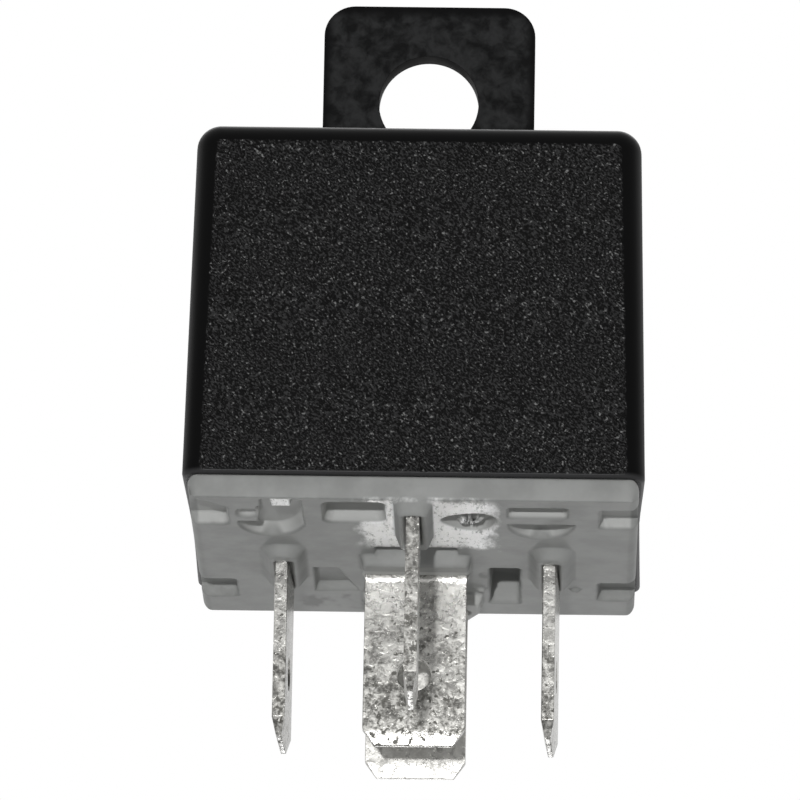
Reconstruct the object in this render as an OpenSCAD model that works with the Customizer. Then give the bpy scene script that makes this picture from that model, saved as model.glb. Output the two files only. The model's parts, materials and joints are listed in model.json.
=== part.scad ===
// Automotive changeover relay with five blade terminals: a moulded cover with a mounting tab,
// a moulded base, a coil on an iron core and yoke, and a hinged armature on a leaf spring that
// moves one contact between two fixed contacts.
// Millimetres, +Z up, blades pointing down. The origin is on the plug-in axis, on the underside
// of the base. Terminal 30 is at -Y, terminal 87 and the mounting tab are at +Y.

/* [Cover] */
// width and depth of the cover at its open rim
cover_w = 28; // [27.4:0.1:30]
// width and depth of the cover at its top
cover_top_w = 27.2; // [26.8:0.1:28]
// height of the cover's top face above the base's underside
cover_top_z = 23.9; // [23.8:0.1:28]
// thickness of the cover's walls
cover_wall = 1; // [0.8:0.05:1.1]
// radius of the upright edges of the cover
cover_edge_r = 1.3; // [0.6:0.1:2]
// radius of the top edges of the cover
cover_top_r = 1.5; // [0.8:0.1:2]
// radius of the corners inside the cover
cover_in_r = 0.6; // [0.3:0.1:0.9]

/* [Mounting tab] */
// width of the tab
tab_w = 13.6; // [10:0.1:18]
// thickness of the tab
tab_t = 1.6; // [1.2:0.1:1.8]
// height of the tab's top edge above the cover's top face
tab_h = 16.1; // [14:0.1:20]
// distance of the tab's middle to the right of the axis
tab_x = 0.1; // [0:0.05:0.2]
// radius of the tab's top corners
tab_corner_r = 2; // [0.8:0.1:4]
// radius of the tab's hole
tab_hole_r = 3.2; // [2.6:0.1:4]
// height of the hole's centre above the cover's top face
tab_hole_h = 9.55; // [8:0.05:11]

/* [Base] */
// width and depth of the base's flange
flange_w = 27.3; // [27:0.1:27.3]
// thickness of the flange, which is also the height of the cover's rim
flange_t = 1.45; // [1.35:0.05:1.9]
// radius of the flange's corners seen from below
flange_corner_r = 0.8; // [0.4:0.1:1.5]
// radius along the flange's left and right edges
flange_edge_r = 0.6; // [0.3:0.05:0.65]
// height of the base's upper part, inside the cover
plug_top_z = 4.2; // [4:0.1:4.6]
// clearance between the base's upper part and the cover's inside
plug_gap = 0.15; // [0.1:0.05:0.3]
// radius of the corners of the base's upper part
plug_corner_r = 1; // [0.6:0.1:1.5]
// length of each snap nose on the sides of the base
snap_l = 6; // [3:0.1:8]
// height of the middle of each snap nose
snap_z = 2.9; // [2.7:0.1:3.1]
// height of each snap nose
snap_h = 0.8; // [0.5:0.1:1]
// how far each snap nose stands out
snap_out = 0.3; // [0.2:0.05:0.4]
// clearance of the cover's snap groove around the nose
snap_gap = 0.1; // [0.05:0.05:0.15]

/* [Blade terminals] */
// width of every blade
blade_w = 6.3; // [6.2:0.05:6.4]
// thickness of every blade
blade_t = 0.8; // [0.75:0.05:0.85]
// length of the blades below the base
blade_l = 11.55; // [10:0.05:13]
// height of the bevel on the blade tips
tip_h = 1.05; // [0.6:0.05:1.4]
// width cut from each side of the blade tips
tip_corner = 0.73; // [0.4:0.01:1.2]
// thickness left at the blade tips
tip_t = 0.32; // [0.2:0.02:0.5]
// radius of the detent hole in every blade
detent_r = 1.05; // [0.8:0.05:1.2]
// distance of the detent hole's centre below the base
detent_z = 7.05; // [6:0.05:8]
// distance of the centre of terminal 30 in front of the plug-in axis
t30_y = 9.87; // [9.7:0.01:9.87]
// distance of the centre of terminal 87 behind the plug-in axis
t87_y = 10.5; // [10.3:0.01:10.6]
// distance of the centres of terminals 85, 86 and 87a behind the plug-in axis
mid_y = 1.9; // [1.7:0.01:2.1]
// distance of terminal 85 to the right of the plug-in axis
t85_x = 8.4; // [8.2:0.01:8.6]
// distance of terminal 86 to the left of the plug-in axis
t86_x = 8.15; // [8.1:0.01:8.6]
// clearance between the terminals and their slots in the base
slot_gap = 0.08; // [0.05:0.01:0.12]
// height of the shoulders of terminals 30, 85, 86 and 87 in the flange
shoulder_z = 1.2; // [1:0.05:1.3]

/* [Collars under the base] */
// height of the collar around terminal 30
collar30_h = 0.95; // [0.6:0.05:1.2]
// width of the end face of the collar around terminal 30
collar30_w = 1.76; // [1.5:0.02:2]
// length of the end face of the collar around terminal 30
collar30_l = 8; // [7.5:0.1:8.1]
// distance of the middle of the collar around terminal 30 in front of the axis
collar30_y = 9.3; // [9.2:0.05:9.35]
// height of the collars around terminals 85 and 86
coil_collar_h = 0.72; // [0.5:0.02:1]
// width of the end faces of the collars around terminals 85 and 86
coil_collar_w = 1.95; // [1.6:0.05:2.2]
// distance of the collars' rounded noses in front of the blades
coil_collar_nose = 1.2; // [0.9:0.05:1.6]
// distance of the collars' ends behind the blades
coil_collar_tail = 0.45; // [0.3:0.05:0.8]
// slope of the side walls of the collars around terminals 30, 85 and 86
collar_draft = 0.4; // [0.1:0.05:0.45]
// height of the collars around terminals 87 and 87a
wide_collar_h = 0.75; // [0.5:0.05:1]
// slope of the side walls of the collars around terminals 87 and 87a
wide_collar_draft = 0.15; // [0.05:0.05:0.3]
// distance of the front of the collar around 87a in front of the axis
collar87a_front = 0.65; // [0.4:0.05:0.9]
// distance of the back of the collar around 87a behind the axis
collar87a_back = 3; // [2.8:0.1:3.6]
// width of the collar around 87a
collar87a_w = 6.6; // [6.55:0.05:7]
// width of the collar around 87
collar87_w = 7.3; // [7.2:0.1:8]
// distance of its middle to the right of the axis
collar87_x = 0.3; // [0:0.05:0.3]
// distance of the front of the collar around 87 behind the axis
collar87_front = 8.5; // [8:0.1:9]
// distance of the back of the collar around 87 behind the axis
collar87_back = 12.9; // [12.4:0.1:13.2]
// width of the bevel on the rear right corner of the collar around 87
collar87_bevel_w = 0.9; // [0.4:0.05:1]
// length of that bevel
collar87_bevel_l = 2.2; // [1:0.1:2.4]
// width that the slot for terminal 30 has beside the blade at its front end
slot30_nick_w = 0.3; // [0.2:0.02:0.4]
// length of that wider part of the slot
slot30_nick_l = 2.4; // [1.5:0.1:3]

/* [Pockets under the base] */
// depth of the step in front of the collar around 87a
step_d = 0.4; // [0.2:0.05:0.6]
// width of the step in front of the collar around 87a
step_w = 5.2; // [4.5:0.1:6]
// length of the step in front of the collar around 87a
step_l = 1.6; // [1:0.1:2]
// corner radius of the pockets
pocket_r = 0.4; // [0.2:0.05:0.6]
// distance of the front pocket's centre to the left of the axis
front_pocket_x = 3.6; // [3.3:0.1:3.8]
// distance of the front pocket's centre in front of the axis
front_pocket_y = 10.7; // [10.4:0.1:10.8]
// width of the front pocket
front_pocket_w = 3.6; // [3:0.1:3.8]
// length of the front pocket
front_pocket_l = 4.3; // [3.6:0.1:4.5]
// depth of the front pocket
front_pocket_d = 1.25; // [0.8:0.05:1.6]
// distance of the gate recess to the right of the axis
gate_x = 3.3; // [3.2:0.05:3.4]
// distance of the gate recess in front of the axis
gate_y = 10; // [9.6:0.1:10.6]
// radius of the gate recess
gate_r = 1.8; // [1.4:0.05:1.9]
// depth of the gate recess
gate_d = 0.35; // [0.2:0.05:0.6]
// radius of the stub left by the gate
gate_stub_r = 0.55; // [0.3:0.05:0.8]
// height of the stub left by the gate
gate_stub_h = 0.25; // [0.1:0.05:0.3]
// distance of the right slot pocket from the axis
slot_pocket_x = 7.45; // [7.2:0.05:7.7]
// distance of the right slot pocket in front of the axis
slot_pocket_y = 11.1; // [11:0.1:11.4]
// width of the right slot pocket
slot_pocket_w = 3.6; // [3:0.1:4]
// length of the right slot pocket
slot_pocket_l = 3.1; // [2.6:0.1:3.2]
// depth of the right slot pocket
slot_pocket_d = 0.9; // [0.6:0.05:1.3]
// distance of the round-backed pockets from the axis
bow_x = 8.2; // [8:0.05:8.6]
// distance of the centre of their round backs in front of the axis
bow_y = 6.9; // [6.8:0.1:7.1]
// radius of the round-backed pockets
bow_r = 2; // [1.7:0.05:2.1]
// length of the straight part of the round-backed pockets
bow_l = 1.2; // [0.8:0.1:1.5]
// depth of the round-backed pockets
bow_d = 0.88; // [0.6:0.02:1.2]
// width of the left pocket's front part
stem_w = 2.5; // [2:0.1:3]
// distance of the front end of the left pocket in front of the axis
stem_y = 12; // [11.5:0.1:12.3]
// length of the two nicks in front of the left pocket
nick_l = 0.9; // [0.6:0.1:1]
// depth of the two nicks in front of the left pocket
nick_d = 0.45; // [0.3:0.05:0.6]
// width of the bridge between the two nicks
nick_bridge = 1.1; // [0.8:0.1:1.4]
// length of the small oval recess beside the left pocket
oval_l = 2.6; // [2:0.1:3]
// width of the small oval recess
oval_w = 1.1; // [0.8:0.1:1.2]
// distance of the small oval recess to the left of the axis
oval_x = 10.5; // [10.4:0.05:10.6]
// distance of the small oval recess in front of the axis
oval_y = 10.5; // [10.3:0.1:10.8]
// depth of the small oval recess
oval_d = 0.5; // [0.3:0.05:0.8]
// width of the four edge notches
notch_w = 2.3; // [1.8:0.1:2.5]
// length of the four edge notches
notch_l = 4.2; // [3.6:0.1:5]
// slope of the front wall of the front left notch, measured along the edge
notch_slope = 1.9; // [0.5:0.1:2]
// depth of the four edge notches
notch_d = 0.85; // [0.5:0.05:0.85]
// distance of the front edge notches in front of the axis
notch_front_y = 9.4; // [9:0.1:9.8]
// distance of the rear edge notches behind the axis
notch_back_y = 7.8; // [7.4:0.1:8.2]
// distance of the shallow rear pocket's left wall to the left of the axis
rear_pocket_x = 6.4; // [6.2:0.1:6.6]
// distance of its front wall behind the axis
rear_pocket_y = 2.6; // [2.4:0.1:3]
// width of its front wall
rear_pocket_w = 1.7; // [1.4:0.1:2]
// length of the shallow rear pocket
rear_pocket_l = 5.9; // [5:0.1:6]
// width that its oblique right wall adds at the back
rear_pocket_slope = 1.2; // [0.6:0.1:1.2]
// depth of the shallow rear pocket
rear_pocket_d = 0.6; // [0.4:0.05:1]
// distance of the deep rear slot to the right of the axis
deep_slot_x = 5.5; // [5.4:0.05:5.6]
// distance of the deep rear slot behind the axis
deep_slot_y = 6.6; // [6.4:0.1:6.9]
// width of the deep rear slot
deep_slot_w = 1.75; // [1.5:0.05:1.9]
// length of the deep rear slot
deep_slot_l = 8.6; // [8:0.1:8.8]
// depth of the deep rear slot
deep_slot_d = 2.3; // [1.8:0.1:2.6]
// radius of the two small pips behind the axis
pip_r = 0.4; // [0.2:0.05:0.5]
// height of the pips
pip_h = 0.2; // [0.1:0.05:0.3]
// distance of the pips behind the axis
pip_y = 7.2; // [7:0.1:7.5]
// distance of the inner pip to the right of the axis
pip_in_x = 4; // [3.9:0.05:4.1]
// distance of the outer pip to the right of the axis
pip_out_x = 9.9; // [9.8:0.1:10.2]

/* [Upper parts of the terminals] */
// width of the stems of terminals 30 and 87
stem_wide = 4; // [3.4:0.1:4.2]
// width of the tongue of terminal 30 in the yoke
tongue_w = 2; // [1.6:0.1:2.2]
// width of the stems of terminals 85 and 86
post_w = 2; // [1.6:0.1:2.4]
// height of the shoulders of terminals 85 and 86 above the bobbin's lower flange
post_shoulder = 0.2; // [0.15:0.05:0.4]
// height of the tops of terminals 85 and 86 above their shoulders
post_top_h = 1.6; // [1.3:0.1:2]
// width of the tops of terminals 85 and 86
post_top_w = 1; // [0.8:0.05:1.1]
// height of the upper side of the cross strip of terminal 87a
run_top_z = 3.2; // [3:0.05:3.3]
// width of the upright strip of terminal 87a
run_w = 3; // [2.6:0.1:3.2]
// distance of the middle of that strip to the left of the axis
run_x = 4.9; // [4.8:0.05:5.1]
// clearance between that strip and the cover's rear wall
run_gap = 0.4; // [0.3:0.05:0.6]
// width of the contact arms of terminals 87 and 87a
arm_w = 3.6; // [3.4:0.1:4]
// distance of terminal 87's stem to the right of the axis
stem87_x = 0.8; // [0.6:0.1:1]

/* [Magnet] */
// distance of the coil's axis in front of the plug-in axis
coil_y = 0.8; // [0.6:0.05:0.9]
// thickness of the yoke's foot
yoke_foot_t = 1.6; // [1.5:0.05:1.7]
// thickness of the yoke's upright leg
yoke_leg_t = 1.5; // [1.3:0.05:1.6]
// width of the yoke's upright leg
yoke_w = 10; // [8:0.1:12]
// width of the yoke's foot
yoke_foot_w = 9; // [8:0.1:11]
// room for the leaf spring between the yoke and the cover's front wall
spring_room = 1.2; // [1.1:0.05:1.3]
// distance of the end of the yoke's foot behind the coil's axis
yoke_foot_end = 4; // [3.2:0.1:5]
// height of the core above the yoke's foot, without its pole face
core_l = 11.4; // [11.2:0.1:11.6]
// radius of the core
core_r = 3; // [2.6:0.05:3.1]
// radius of the core's tenon in the yoke
core_tenon_r = 2; // [1.6:0.05:2.2]
// radius of the pole face
pole_r = 4; // [3.6:0.1:4.5]
// thickness of the pole face
pole_t = 0.7; // [0.6:0.05:0.9]
// clearance between the core and the bobbin
core_gap = 0.1; // [0.05:0.01:0.15]
// end play of the bobbin on the core
bobbin_play = 0.05; // [0.03:0.01:0.08]
// thickness of the bobbin's tube
bobbin_wall = 0.7; // [0.6:0.05:0.9]
// thickness of the bobbin's flanges
bobbin_flange_t = 0.8; // [0.7:0.05:0.9]
// radius of the bobbin's flanges
bobbin_r = 7.2; // [7:0.05:7.3]
// width of the bobbin's ears around terminals 85 and 86
ear_w = 3.8; // [3.4:0.1:4.2]
// wall of the ears outside terminals 85 and 86
ear_wall = 0.9; // [0.7:0.1:1.2]
// outer radius of the copper winding
winding_r = 6.4; // [6:0.05:6.6]
// clearance around the winding
winding_gap = 0.02; // [0.01:0.01:0.03]
// thickness of the tape over the winding
tape_t = 0.15; // [0.1:0.01:0.2]
// bare winding left above and below the tape
tape_margin = 0.3; // [0.1:0.05:0.6]
// radius of the coil's lead wires
lead_r = 0.16; // [0.12:0.01:0.2]
// spacing of the turns of the lead wires on the posts
lead_pitch = 0.28; // [0.25:0.01:0.3]

/* [Armature and contacts] */
// travel of the armature in degrees
travel_deg = 2; // [1.6:0.1:2.1]
// clearance between the armature and the parts it closes on
seat_gap = 0.05; // [0.04:0.01:0.08]
// thickness of the armature
armature_t = 1.3; // [1.2:0.05:1.35]
// width of the armature
armature_w = 9; // [8:0.1:11]
// distance of the armature's free end behind the axis
armature_end_y = 5.6; // [5:0.1:5.9]
// distance of the armature's hinged end from the yoke's outer face
armature_set_back = 0.1; // [0.08:0.01:0.15]
// chamfer on the armature's hinged end
armature_chamfer = 0.6; // [0.55:0.05:0.7]
// thickness of the leaf spring
leaf_t = 0.25; // [0.2:0.01:0.3]
// width of the leaf spring over the armature and the yoke
leaf_w = 5; // [4.6:0.1:6]
// width of the leaf spring at the contact
leaf_tip_w = 3.2; // [3:0.1:3.6]
// inner radius of the leaf spring's bend
leaf_bend_r = 0.5; // [0.45:0.05:0.55]
// distance of the lower end of the leaf spring below the top of the yoke
leaf_drop = 8.4; // [7.5:0.1:9.5]
// distance of the leaf spring's free end behind the contact
leaf_overhang = 1.6; // [1.5:0.1:1.8]
// distance of the contacts behind the axis
contact_y = 8.8; // [8.75:0.05:8.9]
// radius of the heads of the contacts
contact_r = 1.45; // [1.3:0.05:1.5]
// radius of the contact faces
contact_face_r = 1.1; // [0.9:0.05:1.2]
// height of the heads of the fixed contacts
fixed_head_h = 0.7; // [0.6:0.05:0.72]
// height of the lower head of the moving contact
lower_head_h = 0.9; // [0.8:0.05:1]
// height of the upper head of the moving contact
upper_head_h = 0.8; // [0.7:0.05:0.82]
// radius of the shanks of the contacts
contact_shank_r = 0.6; // [0.5:0.05:0.7]
// radius of the rivets' shanks
rivet_r = 0.5; // [0.4:0.05:0.6]
// radius of the rivets' heads
rivet_head_r = 0.95; // [0.8:0.05:1]
// height of the rivets' heads
rivet_head_h = 0.4; // [0.3:0.05:0.45]
// distance of the rivets from the middle of the leaf spring
rivet_x = 1.35; // [1.25:0.05:1.4]
// distance of the armature's rivets behind the armature's hinged end
armature_rivet_y = 4.4; // [3.6:0.1:5]
// distance of the yoke's rivets below the top of the yoke
yoke_rivet_z = 6; // [5.4:0.1:6.4]
// clearance around the shanks in their holes
shank_gap = 0.03; // [0.02:0.01:0.04]

/* [Hidden] */
$fn = 48;
// lap used where two shapes of one solid join
lap = 0.02;
tip_z = -blade_l;
tab_back_y = cover_top_w / 2;
tab_front_y = tab_back_y - tab_t;
cover_in_top_z = cover_top_z - cover_wall;
inside_y = min(cover_w, cover_top_w) / 2 - cover_wall;
run_back_y = inside_y - run_gap;
yoke_out_y = inside_y - spring_room;
plug_w = cover_w - 2 * cover_wall - 2 * plug_gap;
pole_z = plug_top_z + yoke_foot_t + core_l + pole_t;
flange_low_z = plug_top_z + yoke_foot_t + bobbin_play;
flange_high_z = pole_z - pole_t - bobbin_play;
post_shoulder_z = flange_low_z + bobbin_flange_t + post_shoulder;
hinge_y = -yoke_out_y + armature_set_back;
armature_low_z = pole_z + seat_gap;
armature_top_z = armature_low_z + armature_t;
leaf_top_z = armature_top_z + leaf_t;
open_face_z = leaf_top_z + upper_head_h;
open_reach = contact_y + contact_face_r - hinge_y;
open_rise = (open_face_z - pole_z) * cos(travel_deg) + open_reach * sin(travel_deg);
nc_face_z = pole_z + open_rise + seat_gap;
nc_arm_z = nc_face_z + fixed_head_h;
no_face_z = armature_top_z - lower_head_h - seat_gap;
no_arm_z = no_face_z - fixed_head_h;
arm_front_y = contact_y - arm_w / 2;
run_low_z = run_top_z - blade_t;
run_front_y = mid_y - blade_t / 2;
yoke_rivet_height = pole_z - yoke_rivet_z;
stem30_y = t30_y - (blade_w - stem_wide) / 2 + shank_gap;
tongue30_y = -stem30_y + (stem_wide - tongue_w) / 2 - slot_gap;
// turns of each lead wire on its post
lead_turns = 3;

// a block between two corners
module block(low, high) {
    translate(low)
        cube(high - low);
}

// an upright slab with round corners, centred on x and y
module round_slab(w, l, h, r) {
    translate([-w / 2 + r, -l / 2, 0])
        cube([w - 2 * r, l, h]);
    translate([-w / 2, -l / 2 + r, 0])
        cube([w, l - 2 * r, h]);
    for (side_x = [-1, 1])
        for (side_y = [-1, 1])
            translate([side_x * (w / 2 - r), side_y * (l / 2 - r), 0])
                cylinder(r = r, h = h);
}

// a pocket in the underside of the base
module pocket(x, y, w, l, depth) {
    translate([x, y, -lap])
        round_slab(w, l, depth + lap, pocket_r);
}

// ---- cover ----

module cover_outside() {
    rim_place = cover_w / 2 - cover_edge_r;
    top_place = cover_top_w / 2 - cover_top_r;
    hull() {
        for (side_x = [-1, 1])
            for (side_y = [-1, 1]) {
                translate([side_x * rim_place, side_y * rim_place, flange_t])
                    cylinder(r = cover_edge_r, h = lap);
                translate([side_x * top_place, side_y * top_place, cover_top_z - cover_top_r])
                    sphere(r = cover_top_r);
            }
    }
}

module cover_inside() {
    low_w = cover_w - 2 * cover_wall;
    high_w = cover_top_w - 2 * cover_wall;
    hull() {
        translate([0, 0, flange_t - lap])
            round_slab(low_w, low_w, lap, cover_in_r);
        translate([0, 0, cover_in_top_z - lap])
            round_slab(high_w, high_w, lap, cover_in_r);
    }
}

module tab() {
    half = tab_w / 2;
    top_z = cover_top_z + tab_h;
    root_z = cover_top_z - cover_top_r - cover_wall;
    translate([tab_x, 0, 0]) {
        block([-half, tab_front_y, cover_in_top_z], [half, tab_back_y, top_z - tab_corner_r]);
        block(
            [-half + tab_corner_r, tab_front_y, cover_in_top_z],
            [half - tab_corner_r, tab_back_y, top_z]
        );
        block([-half, tab_back_y - cover_wall / 2, root_z], [half, tab_back_y, cover_top_z]);
        for (side = [-1, 1])
            translate([side * (half - tab_corner_r), tab_back_y, top_z - tab_corner_r])
                rotate([90, 0, 0])
                    cylinder(r = tab_corner_r, h = tab_t);
    }
}

module snap_groove() {
    out_x = plug_w / 2 + snap_out + snap_gap;
    for (side = [-1, 1])
        translate([side * out_x / 2, 0, snap_z])
            cube([out_x, snap_l + 2 * snap_gap, snap_h + 2 * snap_gap], center = true);
}

module cover() {
    color([0.05, 0.05, 0.055])
        difference() {
            union() {
                cover_outside();
                tab();
            }
            cover_inside();
            snap_groove();
            translate([tab_x, tab_back_y + lap, cover_top_z + tab_hole_h])
                rotate([90, 0, 0])
                    cylinder(r = tab_hole_r, h = tab_t + 2 * lap);
        }
}

// ---- base ----

module flange() {
    low = flange_edge_r;
    high = flange_t - flange_edge_r;
    half = flange_w / 2;
    edge_x = half - flange_edge_r;
    intersection() {
        union() {
            block([-edge_x, -half, 0], [edge_x, half, flange_t]);
            block([-half, -half, low], [half, half, high]);
            for (side = [-1, 1])
                for (z = [low, high])
                    translate([side * edge_x, half, z])
                        rotate([90, 0, 0])
                            cylinder(r = flange_edge_r, h = flange_w);
        }
        translate([0, 0, -lap])
            round_slab(flange_w, flange_w, flange_t + 2 * lap, flange_corner_r);
    }
}

// a collar that narrows downwards to an end face of w by l
module collar(x, y, w, l, h, draft, r) {
    hull() {
        translate([x, y, 0])
            round_slab(w + 2 * draft, l + 2 * draft, lap, r);
        translate([x, y, -h])
            round_slab(w, l, lap, r);
    }
}

// the outline of the collar around 87, grown by a margin
module collar87_outline(margin) {
    left_x = collar87_x - collar87_w / 2 - margin;
    right_x = collar87_x + collar87_w / 2 + margin;
    front_y = collar87_front - margin;
    back_y = collar87_back + margin;
    polygon([
        [left_x, front_y],
        [right_x, front_y],
        [right_x, back_y - collar87_bevel_l],
        [right_x - collar87_bevel_w, back_y],
        [left_x, back_y]
    ]);
}

module collar87() {
    hull() {
        linear_extrude(height = lap)
            collar87_outline(wide_collar_draft);
        translate([0, 0, -wide_collar_h])
            linear_extrude(height = lap)
                collar87_outline(0);
    }
}

module collars() {
    coil_w = coil_collar_w;
    coil_l = blade_w + coil_collar_nose + coil_collar_tail;
    coil_y_mid = mid_y + (coil_collar_tail - coil_collar_nose) / 2;
    coil_r = coil_w / 2 - lap;
    wide_l = collar87a_back + collar87a_front;
    wide_y = (collar87a_back - collar87a_front) / 2;
    collar(0, -collar30_y, collar30_w, collar30_l, collar30_h, collar_draft, pocket_r);
    for (x = [t85_x, -t86_x])
        collar(x, coil_y_mid, coil_w, coil_l, coil_collar_h, collar_draft, coil_r);
    collar(0, wide_y, collar87a_w, wide_l, wide_collar_h, wide_collar_draft, pocket_r);
    collar87();
}

module round_backed_pocket(side) {
    left_x = side * bow_x - bow_r;
    translate([side * bow_x, -bow_y, -lap])
        cylinder(r = bow_r, h = bow_d + lap);
    block([left_x, -bow_y - bow_l, -lap], [left_x + 2 * bow_r, -bow_y, bow_d]);
}

module left_pocket() {
    left_x = -bow_x + bow_r - stem_w;
    block([left_x, -stem_y, -lap], [left_x + stem_w, -bow_y, bow_d]);
    difference() {
        block([left_x, -stem_y - nick_l, -lap], [left_x + stem_w, -stem_y, nick_d]);
        translate([left_x + stem_w / 2, -stem_y - nick_l / 2, 0])
            cube([nick_bridge, nick_l + 2 * lap, 2 * nick_d + lap], center = true);
    }
    translate([-oval_x, -oval_y, -lap])
        round_slab(oval_w, oval_l, oval_d + lap, oval_w / 2 - lap);
}

module edge_notches() {
    for (side = [-1, 1])
        for (y = [-notch_front_y, notch_back_y])
            translate([side * flange_w / 2, y, -lap])
                round_slab(2 * notch_w, notch_l, notch_d + lap, pocket_r);
    translate([-flange_w / 2, -notch_front_y - notch_l / 2, -lap])
        linear_extrude(height = notch_d + lap)
            polygon([[-lap, lap], [-lap, -notch_slope], [notch_w - pocket_r, lap]]);
}

// the shallow rear pocket, with one oblique wall
module rear_pocket() {
    translate([-rear_pocket_x, rear_pocket_y, -lap])
        linear_extrude(height = rear_pocket_d + lap)
            polygon([
                [0, 0],
                [rear_pocket_w, 0],
                [rear_pocket_w + rear_pocket_slope, rear_pocket_l],
                [0, rear_pocket_l]
            ]);
}

module gate_recess() {
    translate([gate_x, -gate_y, -lap])
        cylinder(r = gate_r, h = gate_d + lap);
}

module pockets() {
    step_y = -collar87a_front - wide_collar_draft;
    pocket(-front_pocket_x, -front_pocket_y, front_pocket_w, front_pocket_l, front_pocket_d);
    pocket(slot_pocket_x, -slot_pocket_y, slot_pocket_w, slot_pocket_l, slot_pocket_d);
    pocket(deep_slot_x, deep_slot_y, deep_slot_w, deep_slot_l, deep_slot_d);
    rear_pocket();
    round_backed_pocket(-1);
    round_backed_pocket(1);
    left_pocket();
    edge_notches();
    gate_recess();
    block([-step_w / 2, step_y - step_l, -lap], [step_w / 2, step_y, step_d]);
}

module pips() {
    for (x = [pip_in_x, pip_out_x])
        translate([x, pip_y, -pip_h])
            cylinder(r1 = pip_r / 2, r2 = pip_r, h = pip_h + lap);
}

// the slot for a blade and for the stem above it, both centred on (x, y)
module blade_slot(x, y, size_x, size_y, z_low, z_high) {
    half_x = size_x / 2 + slot_gap;
    half_y = size_y / 2 + slot_gap;
    block([x - half_x, y - half_y, z_low], [x + half_x, y + half_y, z_high]);
}

module terminal_slots() {
    below = -2 * collar30_h;
    above = plug_top_z + lap;
    shoulder_top = shoulder_z + slot_gap;
    blade_slot(0, -t30_y, blade_t, blade_w, below, shoulder_top);
    blade_slot(0, -stem30_y, blade_t, stem_wide, 0, above);
    for (x = [t85_x, -t86_x]) {
        blade_slot(x, mid_y, blade_t, blade_w, below, shoulder_top);
        blade_slot(x, mid_y, blade_t, post_w, 0, above);
    }
    blade_slot(0, t87_y, blade_w, blade_t, below, shoulder_top);
    blade_slot(stem87_x, t87_y, stem_wide, blade_t, 0, above);
    blade_slot(0, mid_y, blade_w, blade_t, below, above);
    slot30_nick(below);
    run_channel(above);
}

// the wider front end of the slot for terminal 30
module slot30_nick(below) {
    left_x = blade_t / 2 + slot_gap - lap;
    front_y = -t30_y - blade_w / 2 - slot_gap;
    block(
        [left_x, front_y, below],
        [left_x + slot30_nick_w, front_y + slot30_nick_l, collar30_h]
    );
}

// the channel in the base's upper side for the cross strip of terminal 87a
module run_channel(above) {
    left_x = -run_x - run_w / 2 - slot_gap;
    right_x = -run_x + run_w / 2 + slot_gap;
    front_y = run_front_y - slot_gap;
    low_z = run_low_z - slot_gap;
    cross_back_y = run_front_y + run_w / 2 + slot_gap;
    block([left_x, front_y, low_z], [blade_w / 2 + slot_gap, cross_back_y, above]);
    block([left_x, front_y, low_z], [right_x, run_back_y + slot_gap, above]);
}

module upper_part() {
    translate([0, 0, flange_t - lap])
        round_slab(plug_w, plug_w, plug_top_z - flange_t + lap, plug_corner_r);
    translate([0, 0, snap_z])
        cube([plug_w + 2 * snap_out, snap_l, snap_h], center = true);
}

module base() {
    color([0.42, 0.43, 0.43])
        difference() {
            union() {
                difference() {
                    union() {
                        flange();
                        upper_part();
                    }
                    pockets();
                }
                collars();
                pips();
                translate([gate_x, -gate_y, gate_d - gate_stub_h])
                    cylinder(r = gate_stub_r, h = gate_stub_h + lap);
            }
            terminal_slots();
        }
}

// ---- terminals ----

// a strip up to top_z, bevelled by cut on both sides of its tip
module tipped(half, cut, top_z) {
    bevel_z = tip_z + tip_h;
    polygon([
        [-half, top_z],
        [-half, bevel_z],
        [-half + cut, tip_z],
        [half - cut, tip_z],
        [half, bevel_z],
        [half, top_z]
    ]);
}

// a blade along z, wide along x, with bevelled tip and detent hole, up to top_z
module blade(top_z) {
    difference() {
        intersection() {
            translate([0, blade_t / 2, 0])
                rotate([90, 0, 0])
                    linear_extrude(height = blade_t)
                        tipped(blade_w / 2, tip_corner, top_z);
            translate([-blade_w / 2, 0, 0])
                rotate([90, 0, 90])
                    linear_extrude(height = blade_w)
                        tipped(blade_t / 2, (blade_t - tip_t) / 2, top_z);
        }
        translate([0, blade_t, -detent_z])
            rotate([90, 0, 0])
                cylinder(r = detent_r, h = 2 * blade_t);
    }
}

module tin() {
    color([0.75, 0.74, 0.7])
        children();
}

// a strip of a terminal's thickness across x, w wide along y
module crosswise_strip(x, y, w, z_low, z_high) {
    block([x - blade_t / 2, y - w / 2, z_low], [x + blade_t / 2, y + w / 2, z_high]);
}

module terminal_30() {
    tin() {
        translate([0, -t30_y, 0])
            rotate([0, 0, 90])
                blade(shoulder_z);
        crosswise_strip(0, -stem30_y, stem_wide, shoulder_z - lap, plug_top_z);
        crosswise_strip(0, tongue30_y, tongue_w, plug_top_z - lap, plug_top_z + yoke_foot_t);
    }
}

module coil_terminal(x) {
    post_top_z = post_shoulder_z + post_top_h;
    tin() {
        translate([x, mid_y, 0])
            rotate([0, 0, 90])
                blade(shoulder_z);
        crosswise_strip(x, mid_y, post_w, shoulder_z - lap, post_shoulder_z);
        crosswise_strip(x, mid_y, post_top_w, post_shoulder_z - lap, post_top_z);
    }
}

module terminal_85() {
    coil_terminal(t85_x);
}

module terminal_86() {
    coil_terminal(-t86_x);
}

module contact_hole(z) {
    translate([0, contact_y, z - lap])
        cylinder(r = contact_shank_r + shank_gap, h = blade_t + 2 * lap);
}

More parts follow.
